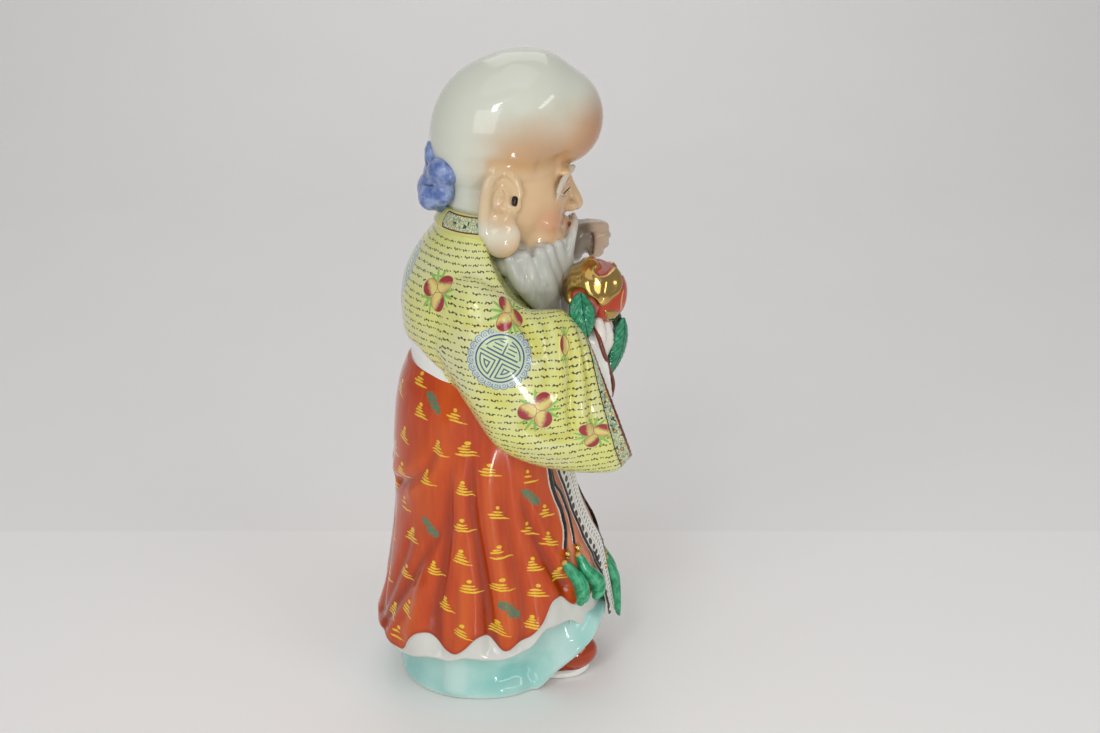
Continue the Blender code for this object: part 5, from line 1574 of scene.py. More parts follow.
def make_skirt():
    verts, faces, deg, z, edge, fold, below = skirt_mesh(450, 120)
    quads = [f for f in faces if len(f) == 4]
    marks = []
    for source, kind in ((CLOUDS, 1), (SPRIGS, 2)):
        for d, h in source:
            marks.append((d, h, kind))
            marks.append(((180 - d) % 360, h, kind))
    marks += [(d, h, 1) for d, h in BACK_CLOUDS] + [(d, h, 2) for d, h in BACK_SPRIGS]
    f4 = np.array(quads)
    ang = np.unwrap(np.radians(deg[f4]), axis=1)
    mid_a, mid_z = np.degrees(ang.mean(1)), z[f4].mean(1)
    radius = np.hypot(verts[:, 0], verts[:, 1] - 6.0)[f4].mean(1)
    best = np.full(len(f4), 1e9)
    uv4 = np.zeros((len(f4), 4, 2))
    for i, (d, h, kind) in enumerate(marks):
        away = (mid_a - d + 180) % 360 - 180
        lx, ly = away * radius * math.pi / 180, mid_z - h
        r = np.hypot(lx / 9.5, ly / 7.5)
        ok = (r < 1.0) & (r < best)
        best[ok] = r[ok]
        corner = (np.degrees(ang[ok]) - d + 180) % 360 - 180
        uv4[ok, :, 0] = corner * radius[ok, None] * math.pi / 180 + 200.0 * (i + 1)
        uv4[ok, :, 1] = z[f4[ok]] - h + 200.0 * kind
    uv = np.concatenate([uv4.reshape(-1, 2), np.zeros((sum(len(f) for f in faces if len(f) != 4), 2))])
    order = quads + [f for f in faces if len(f) != 4]
    return piece("skirt", verts, order, skirt_enamel(), uvs={"motif": uv},
                 fields={"deg": deg, "up": z, "edge": edge, "fold": fold})


def make_underskirt():
    verts, faces, step, hollow, rim = underskirt_mesh(340)
    return piece("underskirt", verts, faces, celadon(), fields={"hollow": hollow, "rim": rim})


def make_underrobe():
    """White robe edge hanging between the skirt's front and the underskirt."""
    n = 220
    rows = [(60, 3.0, 0.0), (52, 3.0, 0.4), (46, 3.4, 0.8), (40, 3.8, 1.0), (36, 4.0, 1.0), (34, 3.6, 1.0), (33.2, 2.4, 0.9), (33.6, 0.8, 0.7), (38, 0.0, 0.4), (50, 0.0, 0.0)]
    s = np.arange(len(rows), dtype=float)
    fine = np.linspace(0, len(rows) - 1, 40)
    zs, out, part = (smooth_curve(s, [r[i] for r in rows], fine) for i in range(3))
    deg = np.linspace(226, 314, n)
    rings = []
    for zi, oi, pi_ in zip(zs, out, part):
        dip = 4.5 * np.cos(np.radians(deg - 270) * 2.0)
        a = np.radians(deg)
        p = skirt_place(a, np.full(n, 44.0) , np.full(n, -8.0) + oi + 1.2 * np.sin(np.radians(deg) * 9))
        p[:, 2] = zi - dip * pi_
        rings.append(p)
    grid = np.array(rings)
    verts = grid.reshape(-1, 3)
    m = len(rings)
    faces = [(i * n + j, i * n + j + 1, (i + 1) * n + j + 1, (i + 1) * n + j) for i in range(m - 1) for j in range(n - 1)]
    return piece("underrobe", verts, faces, white_glaze("underrobe_glaze"))


def shoe(side):
    """Round turned-up toe over a white sole."""
    a = 2 * np.pi * np.arange(72) / 72
    upper = [ellipsoid((side * 21.0, -44.0, 13.2), (12.4, 15.2, 10.8), (-7, 0, 0), 56),
             ellipsoid((side * 20.5, -32.0, 12.0), (12.0, 17.0, 11.4), (0, 0, 0), 48)]
    sole = []
    for z, grow in ((0.15, -2.2), (0.5, -1.0), (1.6, 0.0), (3.2, 0.5), (4.6, 0.0), (5.2, -1.8)):
        x = side * 21.0 + (12.0 + grow) * np.sign(np.cos(a)) * np.abs(np.cos(a)) ** 0.85
        y = -35.5 + (18.5 + grow) * np.sin(a)
        rise = 1.6 * ease((-44.0 - y) / 10.0)
        sole.append(np.stack([x, y, np.maximum(np.full(72, z) + rise, 0.0)], 1))
    return upper + [loft(sole)]


def make_shoes():
    verts, faces = fused("shoes", shoe(-1) + shoe(1), 0.85, 2)
    return piece("shoes", verts, faces, shoe_enamel())


# ================================================================ head
HEAD_FORMS = [  # middle, half-sizes, turn
    ((0, -4, 333), (40, 40, 43.5), (14, 0, 0)),
    ((0, -16, 345), (37, 38, 34.5), (0, 0, 0)),
    ((0, -35, 342), (30.5, 27.2, 28), (0, 0, 0)),
    ((0, -7, 300), (33.5, 36, 34), (0, 0, 0)),
    ((0, -22, 276), (25, 20, 22), (0, 0, 0)),
    ((0, 3, 295), (24.5, 25, 26), (0, 0, 0)),
    ((16.5, -28.5, 287), (11, 9.0, 11), (0, 0, 0)),
    ((-16.5, -28.5, 287), (11, 9.0, 11), (0, 0, 0)),
]


def ear_rim(side):
    x = 35.0 * side
    return smooth_path([(x - side, -11.5, 305), (x, -9.0, 313.5), (x + 0.6 * side, -2.5, 318.5), (x + 1.8 * side, 4.0, 315),
                        (x + 2.4 * side, 7.2, 305), (x + 2.4 * side, 8.2, 294), (x + 1.8 * side, 8.0, 284)], 30)


def ear_forms(side):
    x = 35.0 * side
    inner = smooth_path([(x + 0.5 * side, -6.5, 298), (x + 1.2 * side, -3.5, 303), (x + 1.6 * side, 0.5, 309), (x + 1.6 * side, 3.0, 303), (x + 1.4 * side, 3.2, 294)], 20)
    return [
        ellipsoid((x - 1.6 * side, -1.5, 299), (4.4, 9.4, 18.4), (0, 0, 0)),
        tube(ear_rim(side), np.linspace(2.6, 3.9, 30), sides=18),
        tube(inner, np.linspace(1.6, 2.0, 20), sides=14),
        ellipsoid((x - 0.2 * side, -10.2, 300.0), (3.4, 2.6, 5.2), (0, 0, 0)),       # tragus
        ellipsoid((x + 0.7 * side, -1.2, 281.3), (6.4, 10.8, 11.8), (0, 0, 0)),
        ellipsoid((x + 0.3 * side, -0.5, 289.0), (5.6, 8.8, 10.0), (0, 0, 0)),
    ]


def make_head():
    forms = [ellipsoid(*f, n=72) for f in HEAD_FORMS]
    forms.append(tube(smooth_path([(0, -41.0, 310), (0, -43.2, 303), (0, -46.2, 296), (0, -47.4, 292)], 14), smooth_curve([0, 0.6, 1], [2.6, 3.2, 3.9], np.linspace(0, 1, 14)), sides=18))
    forms.append(ellipsoid((0, -46.4, 291.6), (4.3, 4.4, 3.9), n=32))
    for m in (-1, 1):
        forms += ear_forms(m)
        forms.append(ellipsoid((4.7 * m, -43.4, 291.0), (3.2, 4.4, 3.1), n=28))
        forms.append(ellipsoid((0.0, -39.0, 279.5), (9.0, 6.0, 5.6), n=28))                    # mouth mound
        forms.append(ellipsoid((12.0 * m, -36.5, 313.5), (11.5, 6.0, 3.6), (0, 0, -12 * m), n=28))   # brow
    forms.append(ellipsoid((0.0, -36.0, 266.0), (9.5, 8.5, 8.0), n=28))                        # chin under the beard
    verts, faces = fused("head", forms, 0.86, 6)
    dome = ease((verts[:, 2] + 0.16 * verts[:, 1] - 316.0) / 12.0)
    verts = calmed(verts, faces, 150, 0.5, dome)
    cheeks = ease((30.0 - np.abs(verts[:, 0])) / 6.0) * ease((np.abs(verts[:, 0]) - 7.0) / 4.0) * ease((-verts[:, 1] - 17.0) / 5.0)
    cheeks *= ease((verts[:, 2] - 273.0) / 4.0) * ease((299.0 - verts[:, 2]) / 5.0)
    verts = calmed(verts, faces, 110, 0.5, cheeks)
    swell = ease((verts[:, 2] - 338.0) / 20.0) * np.exp(-((verts[:, 1] + 24.0) / 24.0) ** 2)
    verts = verts + normals_of(verts, faces) * (1.5 * swell + 0.35 * dome)[:, None]
    verts[:, 2] = 379.45 - np.log1p(np.exp(2.0 * (379.45 - verts[:, 2]))) / 2.0
    normals = normals_of(verts, faces)

    lines = []
    for m in (-1, 1):
        lines += [
            (smooth_path([(6.5 * m, -42.5, 307.5), (13 * m, -42, 308.5), (20 * m, -38, 306.5), (25 * m, -33, 303)], 16), 4.0, -2.2),
            (smooth_path([(7.5 * m, -42, 303), (13.5 * m, -41.5, 302), (20 * m, -38, 302.5)], 12), 3.6, -2.0),
            (smooth_path([(6.8 * m, -46, 290), (12 * m, -42.5, 285), (15.5 * m, -39, 277)], 12), 1.5, -1.0),
            (smooth_path([(37 * m, -7.5, 303), (38 * m, -1.5, 310), (38.5 * m, 2.5, 303), (38 * m, 2.0, 294)], 14), 1.5, -1.5),
            (smooth_path([(37 * m, -5.0, 305), (37.5 * m, -1.0, 300), (37.5 * m, -1.5, 294)], 10), 2.6, -1.6),
            (np.array([(35.5 * m, -8.9, 304.6), (35.5 * m, -8.6, 301.5), (35.5 * m, -8.3, 298.4)]), 2.2, -4.5),
            (smooth_path([(33 * m, -18, 319), (36 * m, -8, 321.5), (37 * m, 4, 323), (34 * m, 16, 321), (28 * m, 26, 318)], 20), 3.4, -0.9),
            (smooth_path([(20 * m, -38, 321), (28 * m, -30, 320), (34 * m, -18, 320)], 14), 4.4, -1.8),
        ]
    lines.append((smooth_path([(-20, -38, 321), (-8, -42, 322), (0, -42.5, 323), (8, -42, 322), (20, -38, 321)], 20), 3.6, -1.2))
    verts, _ = press(verts, normals, lines)
    verts = calmed(verts, faces, 2)
    normals = normals_of(verts, faces)

    def closeness(paths, width):
        out = np.zeros(len(verts))
        for path in paths:
            near = np.where(((verts > path.min(0) - 3 * width) & (verts < path.max(0) + 3 * width)).all(1))[0]
            d, _ = distance_to(verts[near], path)
            out[near] = np.maximum(out[near], np.exp(-((d / width) ** 2)))
        return out

    both = (-1, 1)
    # where the crease between dome and brow takes painted shade
    brow_crease_shade = closeness([smooth_path([(16 * m, -40, 320), (27 * m, -31, 320), (35 * m, -18, 320), (37 * m, -7, 321.5), (37 * m, 3, 322)], 20) for m in both], 5.0)
    nape = closeness([smooth_path([(-24, 24, 304), (0, 32, 303), (24, 24, 304)], 20)]
                     + [smooth_path([(24 * m, 24, 304), (31 * m, 15, 303.5), (34 * m, 8, 303)], 10) for m in both], 1.6)
    # distance to the ear opening, which is painted as shadow
    ear_hole_shadow = np.full(len(verts), 9.0)
    for m in both:
        d, _ = distance_to(verts * (0.2, 1.0, 1), np.array([(35.5 * 0.2 * m, -8.9, 302.8), (35.5 * 0.2 * m, -8.5, 300.3)]))
        ear_hole_shadow = np.minimum(ear_hole_shadow, d)
    ear_hole_shadow = np.where(np.abs(verts[:, 0]) < 30, 9.0, ear_hole_shadow)
    ear = np.zeros(len(verts))
    for m in both:
        d = np.sqrt(((verts - (36.5 * m, -0.5, 297.0)) / (9.0, 14.5, 26.0) * 1.0) ** 2 @ np.ones(3))
        ear = np.maximum(ear, ease((1.12 - d) / 0.35))
    # the ear's pressed grooves, which take painted shade
    ear_groove_shade = closeness([smooth_path([(37 * m, -7.5, 303), (38 * m, -1.5, 311), (38.5 * m, 2.8, 303), (38 * m, 1.5, 293)], 14) for m in both], 2.2)
    ear_groove_shade = np.maximum(ear_groove_shade, closeness([smooth_path([(37 * m, -4.5, 305), (37.5 * m, -1.0, 300), (37.5 * m, -1.5, 294)], 10) for m in both], 2.6))
    lip_line = smooth_path([(-6.5, -43.0, 280.8), (-3.0, -45.0, 279.4), (0, -45.4, 279.8), (3.0, -45.0, 279.4), (6.5, -43.0, 280.8)], 16)
    d, _ = distance_to(verts * (1, 0.25, 1), lip_line * (1, 0.25, 1))
    lips = np.where(verts[:, 1] < -36, d, 9.0)
    piece("head", verts, faces, flesh_glaze(), fields={
        "brow_crease_shade": brow_crease_shade, "nape": nape, "ear_hole_shadow": ear_hole_shadow, "ear": ear, "ear_groove_shade": ear_groove_shade, "lips": lips})
    return BVHTree.FromPolygons([tuple(p) for p in verts], [tuple(int(i) for i in q) for q in faces])


def make_eyes(skin):
    forms = [ellipsoid((13.5 * m, -36.2, 303.2), (6.6, 4.6, 4.0), n=36) for m in (-1, 1)]
    verts, faces = gather(forms)
    piece("eyes", verts, faces, eye_glaze())
    lids, lashes = [], []
    for m in (-1, 1):
        upper = smooth_path([(6.8 * m, -38.6, 302.6), (9.5 * m, -40.4, 304.6), (13.5 * m, -41.0, 305.6), (17.5 * m, -39.6, 304.9), (20.8 * m, -36.4, 302.6)], 20)
        lower = smooth_path([(6.8 * m, -38.6, 302.4), (10.0 * m, -40.2, 301.0), (13.5 * m, -40.4, 300.5), (17.5 * m, -39.2, 300.9), (20.8 * m, -36.4, 302.4)], 20)
        width = smooth_curve([0, 0.5, 1], [0.7, 1.45, 0.7], np.linspace(0, 1, 20))
        lids.append(tube(upper, width, sides=14))
        lids.append(tube(lower, width * 0.75, sides=14))
        lids.append(tube(upper + (0, 1.2, 2.4), width * 1.2, sides=14))
        lashes.append(tube(upper + (0, -0.95, -0.95), smooth_curve([0, 0.5, 1], [0.25, 0.5, 0.25], np.linspace(0, 1, 20)), sides=10))
    verts, faces = fused("eyelids", lids, 0.42, 4)
    piece("eyelids", verts, faces, line_enamel("lid_glaze", (214, 176, 138), (222, 190, 152)))
    verts, faces = gather(lashes)
    piece("lash_lines", verts, faces, line_enamel("lash_enamel", (52, 36, 28), (84, 60, 46)))


def lock(path, radii, flat=1.0, sides=18):
    return tube(path, radii, sides=sides, flat=flat)


def make_beard():
    forms = [ellipsoid((0, -19, 262), (31.0, 20.0, 16.0), (-12, 0, 0), 60), ellipsoid((0, -8, 265), (37.5, 16.0, 14.0), (-12, 0, 0), 60),
             ellipsoid((0, -12, 252), (30.0, 16.0, 14.0), (-20, 0, 0), 60), ellipsoid((0, -17, 241), (22.0, 13.0, 14.0), (-20, 0, 0), 60)]
    z = np.linspace(0, 1, 34)
    paths = []
    for i in range(15):
        q = (i - 7) / 7.0
        x0, x1 = 35.5 * math.sin(1.35 * q), 14.0 * q
        y0 = -38.5 + 33.0 * abs(q) ** 2.2
        sway = 0.8 * np.sin(5 * z + 1.7 * i) + 0.35 * np.sin(11 * z + i)
        path = np.stack([
            x0 + (x1 - x0) * ease(z) + sway,
            y0 + (-36.0 + 8 * q * q - y0) * ease(z * 1.1) - 3.0 * np.sin(np.pi * z) + (0.7 if i % 2 else -0.4),
            (273 - 5 * q * q) + ((204 + 15 * q * q + 3 * (i % 2)) - 273) * z,
        ], 1)
        r = smooth_curve([0, 0.25, 0.7, 1], [3.6, 5.6, 4.2, 1.0], z)
        forms.append(lock(path, r))
        paths.append(path)
    fill = []
    for i in range(7):
        q = (i - 3) / 3.4
        path = np.stack([
            33.0 * math.sin(1.3 * q) + (11.0 * q - 33.0 * math.sin(1.3 * q)) * ease(z),
            -35.5 + 35.0 * abs(q) ** 2.2 + (-33.5 + 8 * q * q + 35.5 - 35.0 * abs(q) ** 2.2) * ease(z * 1.1) - 2.0 * np.sin(np.pi * z),
            272 - 5 * q * q + (212 + 14 * q * q - 272) * z], 1)
        fill.append(tube(path, smooth_curve([0, 0.25, 0.7, 1], [5.5, 7.0, 5.4, 1.4], z), sides=18))
    forms += fill
    whiskers = []
    for m in (-1, 1):
        path = smooth_path([(1.5 * m, -46.0, 284.6), (7 * m, -45.6, 282.4), (13 * m, -43.0, 276), (16.5 * m, -41.0, 266),
                            (17.5 * m, -40.0, 253), (15.0 * m, -41.5, 240)], 26)
        forms.append(tube(path, smooth_curve([0, 0.3, 0.8, 1], [1.3, 2.8, 2.4, 0.6], np.linspace(0, 1, 26)), sides=16))
        whiskers.append(path)
    verts, faces = fused("beard", forms, 0.86, 2)
    normals = normals_of(verts, faces)
    lines = []
    for a, b in zip(paths[:-1], paths[1:]):
        mid = (a + b) / 2
        mid[:, 1] -= 4.0
        lines.append((mid[2:-2], 1.1, -0.8))
    for path in paths:
        lines.append((path[3:-2] + (0.9, -4.5, 0), 0.8, -0.35))
    verts, moved = press(verts, normals, lines)
    verts = calmed(verts, faces, 1)
    piece("beard", verts, faces, hair_glaze(), fields={"groove": -moved})

    brows = []
    for m in (-1, 1):
        for k in range(3):
            path = smooth_path([(5.5 * m, -43.6, 311.2 + k), (11 * m, -43.4 - 0.3 * k, 313.5 + k * 0.8), (18 * m, -40.6, 313.4 + k * 0.4),
                                (23.5 * m, -36.2, 309.5 - k), (26.0 * m, -33.0, 303.5 - 2.2 * k)], 20)
            brows.append(tube(path, smooth_curve([0, 0.35, 0.8, 1], [0.6, 1.7, 1.2, 0.4], np.linspace(0, 1, 20)), sides=14))
    verts, faces = fused("brows", brows, 0.45, 3)
    piece("brows", verts, faces, hair_glaze(), fields={"groove": np.zeros(len(verts))})


def make_scarf():
    """Blue cloth tied round a knot of hair at the nape: a point above two rolled lobes."""
    forms = []
    for x, w in ((0, 1.0), (-7.5, 0.95), (7.5, 0.95)):
        path = smooth_path([(x * 0.3, 36.5, 328.0), (x * 0.8, 35.0, 321.5), (x, 31.5, 314.5), (x * 1.1, 28.5, 308.0)], 14)
        forms.append(tube(path, smooth_curve([0, 0.3, 0.7, 1], [1.4, 4.6, 7.2, 5.4], np.linspace(0, 1, 14)) * w, sides=20))
    forms += [
        ellipsoid((0, 30.0, 312.5), (18.5, 10.4, 8.6), (-24, 0, 0)),
        ellipsoid((-16.5, 29.6, 314.6), (10.6, 7.6, 8.6), (-24, 0, 36)),
        ellipsoid((16.5, 29.6, 314.6), (10.6, 7.6, 8.6), (-24, 0, -36)),
        ellipsoid((-14.5, 30.5, 303.5), (8.8, 6.6, 8.8), (10, 0, 34)),
        ellipsoid((14.5, 30.5, 303.5), (8.8, 6.6, 8.8), (10, 0, -34)),
        ellipsoid((0, 35.5, 303.0), (16.5, 8.4, 9.6), (18, 0, 0)),
        ellipsoid((-9, 35.5, 300.5), (9.6, 8.0, 9.4), (25, 0, 12)),
        ellipsoid((9, 35.5, 300.5), (9.6, 8.0, 9.4), (25, 0, -12)),
        ellipsoid((0, 30.5, 296.0), (13.0, 7.6, 7.6), (30, 0, 0)),
        ellipsoid((0, 28.6, 292.0), (9.5, 5.0, 4.0), (0, 0, 0)),
    ]
    verts, faces = fused("scarf", forms, 0.75, 14)
    normals = normals_of(verts, faces)
    lines = []
    for m in (-1, 1):
        lines += [
            (smooth_path([(4 * m, 41, 324), (9 * m, 38.5, 318), (15 * m, 35, 312), (18 * m, 33, 308)], 14), 1.1, -1.2),
            (smooth_path([(24 * m, 26, 306.5), (19 * m, 32, 307.0), (11 * m, 41, 307.5), (3 * m, 44, 308)], 14), 1.0, -1.1),
            (smooth_path([(4 * m, 44.5, 306), (8 * m, 43.5, 300), (9 * m, 38, 293)], 12), 1.1, -0.8),
            (smooth_path([(16 * m, 38, 305), (17 * m, 34, 299), (13 * m, 31, 293)], 12), 1.0, -0.7),
        ]
    verts, moved = press(verts, normals, lines)
    verts = calmed(verts, faces, 1)
    piece("scarf", verts, faces, scarf_enamel(), fields={"groove": -moved})


# ================================================================ peach
PEACH = np.array((-25.0, -55.5, 246.0))
PEACH_SIZE = np.array((20.0, 19.4, 20.3))
WING = [(5.6, 8.3, 17.5), (-1.3, 4.2, 19.8), (-6.2, -0.4, 19.3), (-8.6, -1, 18.3), (-12, 2.1, 16.1), (-14.6, -0.2, 13.8), (-13.4, -5.1, 14.1), (-10.4, -7.6, 15.4),
        (-4.7, -11, 16), (-5.8, -13.8, 13), (-9.9, -14.6, 8.8), (-14.7, -12.8, 3.4), (-18.3, -7.8, 0.7), (-19.5, -3.5, -2.9), (-19.7, 0.3, -3.5), (-19.7, 3.3, 0.3),
        (-18.3, 7.5, 2.6), (-16.7, 9.3, 5.4), (-13.2, 13.6, 5.6), (-9.7, 16.7, 2.8), (-9.4, 17.1, -1.1), (-10.7, 15.6, -5.2), (-4.2, 18.1, -5.8), (2.7, 19.2, 1.3),
        (3.9, 18, 6.5), (5, 14.8, 12)]
HOOK = [(-18.6, -2.7, -6.8), (-15, -9.9, -8.6), (-6.4, -11.8, -14.7), (-6.6, -7.6, -17.5), (-13, -5, -14.5)]
OCHRE = [(-12.4, -14.8, 3.6), (-14.1, -13.7, -1.7), (-10.8, -13.6, -9.5), (-8.5, -17.4, -2.5), (-5.7, -15.9, -10.2), (-6.2, -13.6, -13)]


def flat_map(p, side=1):
    """Unrolls directions about the middle of a wing: distances there are in mm."""
    d = np.asarray(p, float) / PEACH_SIZE * (side, 1, 1)
    d = d / np.linalg.norm(d, axis=-1, keepdims=True)
    axis = np.array((-0.97, -0.05, 0.24))
    axis /= np.linalg.norm(axis)
    e1 = np.cross((0, 0, 1.0), axis)
    e1 /= np.linalg.norm(e1)
    e2 = np.cross(axis, e1)
    c = np.clip(d @ axis, -1, 1)
    t = np.arccos(c)
    s = np.maximum(np.sqrt(1 - c * c), 1e-6)
    return np.stack([d @ e1 / s * t, d @ e2 / s * t], -1) * 19.8


def signed(points, outline):
    """Distance inside a closed flat outline, negative outside it."""
    outline = np.asarray(outline)
    best, _ = distance_to(points, np.concatenate([outline, outline[:1]]))
    x, y = points[:, 0], points[:, 1]
    inside = np.zeros(len(points), bool)
    for (x1, y1), (x2, y2) in zip(outline, np.roll(outline, -1, 0)):
        cross = ((y1 > y) != (y2 > y)) & (x < (x2 - x1) * (y - y1) / ((y2 - y1) if y2 != y1 else 1e-9) + x1)
        inside ^= cross
    return np.where(inside, best, -best)


def make_peach():
    n, m = 232, 132
    th = math.pi * (np.arange(1, m) / m)
    ph = 2 * math.pi * np.arange(n) / n
    t, p = np.meshgrid(th, ph, indexing="ij")
    d = np.stack([np.sin(t) * np.cos(p), np.sin(t) * np.sin(p), np.cos(t)], -1)
    verts, faces = loft(d)
    verts = verts / np.linalg.norm(verts, axis=1)[:, None]
    base = verts * PEACH_SIZE
    ring_smooth = lambda pts: smooth_path(np.concatenate([pts, pts[:1]]), 150)[:-1]
    wing = np.full(len(verts), -20.0)
    hook = np.full(len(verts), -20.0)
    stroke = np.full(len(verts), 9.0)
    for side in (1, -1):
        flat = flat_map(base, side)
        wing = np.maximum(wing, signed(flat, ring_smooth(flat_map(np.array(WING)))))
        hook = np.maximum(hook, signed(flat, ring_smooth(flat_map(np.array(HOOK)))))
        s = flat_map(np.array(OCHRE))
        for line in (s[:3], s[3:5], s[4:]):
            dist, _ = distance_to(flat, smooth_path(line, 20) if len(line) > 2 else line)
            stroke = np.minimum(stroke, dist)
    gold = np.maximum(wing, hook)
    front = verts @ (np.array((-0.25, -0.92, -0.32)) / np.linalg.norm((-0.25, -0.92, -0.32)))
    body = (front - 0.62) * 26.0
    body2 = (verts @ (np.array((-0.62, -0.62, -0.38)) / np.linalg.norm((-0.62, -0.62, -0.38))) - 0.72) * 26.0
    body = np.maximum(body, body2)
    relief = 1.9 * ease((gold + 0.9) / 2.4) + 0.9 * ease((body + 0.8) / 2.0) * (1 - ease((gold + 0.9) / 2.4)) + 0.5 * np.exp(-((stroke / 0.9) ** 2)) * (body > -1)
    rib = 0.35 * np.sin(flat_map(base, 1)[:, 0] * 0.55 + 0.8) * ease((gold - 1.5) / 3.0)
    cleft = -1.6 * np.exp(-((verts[:, 0] / 0.10) ** 2)) * ease((verts[:, 2] - 0.25) / 0.5) * (1 - ease((gold + 1.0) / 2.0))
    tip = 2.2 * np.exp(-(((1 - verts[:, 2]) / 0.06) ** 2))
    r = 1.0 - 2.4 / 20 + (relief + rib + cleft) / 20.0
    out = base * r[:, None] + (0, 0, 1) * tip[:, None] * 0.4 + PEACH
    piece("peach", out, faces, peach_enamel(), fields={"wing": gold, "body": body, "stroke": stroke})


def leaf(path, width, normal, thick=2.2, n=60, cup=0.16, curl=0.0):
    """Leaf blade with raised halves, a sunk midrib and a saw-tooth margin."""
    path = smooth_path(path, n)
    tangent = np.gradient(path, axis=0)
    tangent /= np.linalg.norm(tangent, axis=1)[:, None]
    nrm = np.asarray(normal, float)
    across = np.linspace(-1, 1, 31)
    rings, along, side_at, margin = [], [], [], []
    length = np.concatenate([[0], np.cumsum(np.linalg.norm(np.diff(path, axis=0), axis=1))])
    for i, (p, t) in enumerate(zip(path, tangent)):
        s = 0.015 + 0.97 * i / (n - 1)
        w = 0.5 * width * math.sin(math.pi * s ** 0.8) ** 0.75 + 0.3
        w *= 1.0 + 0.05 * abs(math.sin(length[i] * 1.05))
        up = nrm - t * (nrm @ t)
        up /= np.linalg.norm(up)
        side = np.cross(t, up)
        swell = 0.5 * np.sin(np.pi * np.abs(across)) + 0.25 * np.sin((length[i] - np.abs(across) * w * 1.1) * 1.9) * np.abs(across)
        arch = thick * (0.25 + 0.6 * (1 - across**2) + 0.35 * swell) * (0.35 + 0.65 * math.sin(math.pi * s)) - cup * w * across**2
        top = p + np.outer(across * w, side) + np.outer(arch, up)
        low = p + np.outer(across[::-1] * w, side) - np.outer(thick * 0.45 + cup * w * across**2, up)
        rings.append(np.concatenate([top, low]))
        along.append(np.full(62, length[i]))
        side_at.append(np.concatenate([across * w, across[::-1] * w]))
        margin.append(np.concatenate([(1 - np.abs(across)) * w, (1 - np.abs(across)) * w * 0]))
    verts, faces = loft(rings)
    ends = lambda v: np.concatenate([np.array(v).ravel(), [v[0][0], v[-1][0]]])
    return verts, faces, ends(along), ends(side_at), ends(margin)


def make_leaves():
    px, py, pz = PEACH + (0, 0, 0.5)
    blades = [
        leaf([(px - 15.5, py + 10.5, pz + 3.0), (px - 20.3, py + 10.5, pz - 5), (px - 21.0, py + 8.8, pz - 14), (px - 19.0, py + 7.0, pz - 22.5)], 13.5, (-1, -0.15, 0.1)),
        leaf([(px - 3.0, py - 15.5, pz - 16), (px - 4.5, py - 14.5, pz - 28), (px - 6.5, py - 10.5, pz - 41), (px - 7.0, py - 5.0, pz - 52)], 12.5, (-0.75, -0.65, -0.1)),
        leaf([(px + 9.0, py - 12.5, pz - 10), (px + 10.5, py - 13.5, pz - 21), (px + 9.0, py - 10.5, pz - 33)], 12.5, (0.35, -0.93, 0.0)),
    ]
    forms, along, across, margin, start = [], [], [], [], 0
    for v, f, a, s, mrg in blades:
        forms.append((v, f))
        along.append(a)
        across.append(s)
        margin.append(mrg)
    verts, faces = gather(forms)
    piece("leaves", verts, faces, leaf_enamel(), fields={"along": np.concatenate(along), "across": np.concatenate(across), "margin": np.concatenate(margin)})
    stalk = smooth_path([(px - 13.5, py + 3.5, pz - 13), (px - 16.5, py + 0.0, pz - 24), (px - 15.5, py - 5.0, pz - 40), (px - 12.0, py - 9.0, pz - 53), (px - 9.0, py - 8.5, pz - 61)], 40)
    verts, faces = gather([tube(stalk, np.linspace(1.5, 1.1, 40), sides=14)])
    piece("stalk", verts, faces, line_enamel("stalk_enamel", (96, 46, 34), (136, 74, 56)))


# ================================================================ hands
def make_right_hand():
    path = smooth_path([(-42, -34, 204), (-37, -48, 204), (-34, -60.0, 204.5)], 24)
    a = 2 * np.pi * np.arange(80) / 80
    rings = []
    for k, (p, h, w) in enumerate(zip(path, np.linspace(25, 20.5, 24), np.linspace(13, 9.0, 24))):
        rings.append(p + np.stack([w * np.cos(a), 0.15 * h * np.sin(a), h * np.sin(a)], 1))
    for scale, dy in ((0.985, -0.9), (0.95, -1.5), (0.9, -1.6), (0.84, -1.0), (0.8, 1.5), (0.76, 5.0)):
        rings.append((rings[23] - path[-1]) * scale + path[-1] + np.array((0.2, dy, 0.0)))
    verts, faces = fused("inner_sleeve", [loft(rings)], 0.85, 2)
    normals = normals_of(verts, faces)
    lines = [(smooth_path([(-46, -40, 222), (-46, -50, 214), (-44, -58, 200), (-43, -60, 188)], 14), 1.8, -0.9),
             (smooth_path([(-44, -46, 226), (-43, -55, 216), (-42, -61, 206)], 14), 1.6, -0.8)]
    verts, _ = press(verts, normals, lines)
    piece("inner_sleeve", verts, faces, white_glaze("inner_sleeve_glaze"))
    forms = [ellipsoid((-31, -54.5, 217), (9.5, 9.5, 12.0), (0, 0, 0)), ellipsoid((-33, -50.0, 206), (8.5, 9.0, 12.0), (0, 0, 0))]
    fingers = []
    for x, y, zt in ((-38.5, -55.5, 230), (-33.5, -60.5, 226.5), (-27.5, -62.5, 225.0), (-21.5, -61.0, 226.0)):
        path = smooth_path([(x + 2, y + 4.0, zt - 16), (x, y - 0.8, zt - 7), (x, y + 0.6, zt + 1.5)], 14)
        forms.append(tube(path, smooth_curve([0, 0.5, 1], [4.4, 4.0, 3.4], np.linspace(0, 1, 14)), sides=18))
        fingers.append(path)
    verts, faces = fused("right_hand", forms, 0.6, 4)
    normals = normals_of(verts, faces)
    lines = [((p + q) / 2 + (0, -3.0, 0), 0.9, -0.7) for p, q in zip(fingers[:-1], fingers[1:])]
    verts, moved = press(verts, normals, lines)
    piece("right_hand", verts, faces, white_glaze("right_hand_glaze", (224, 214, 202), (238, 234, 226)))


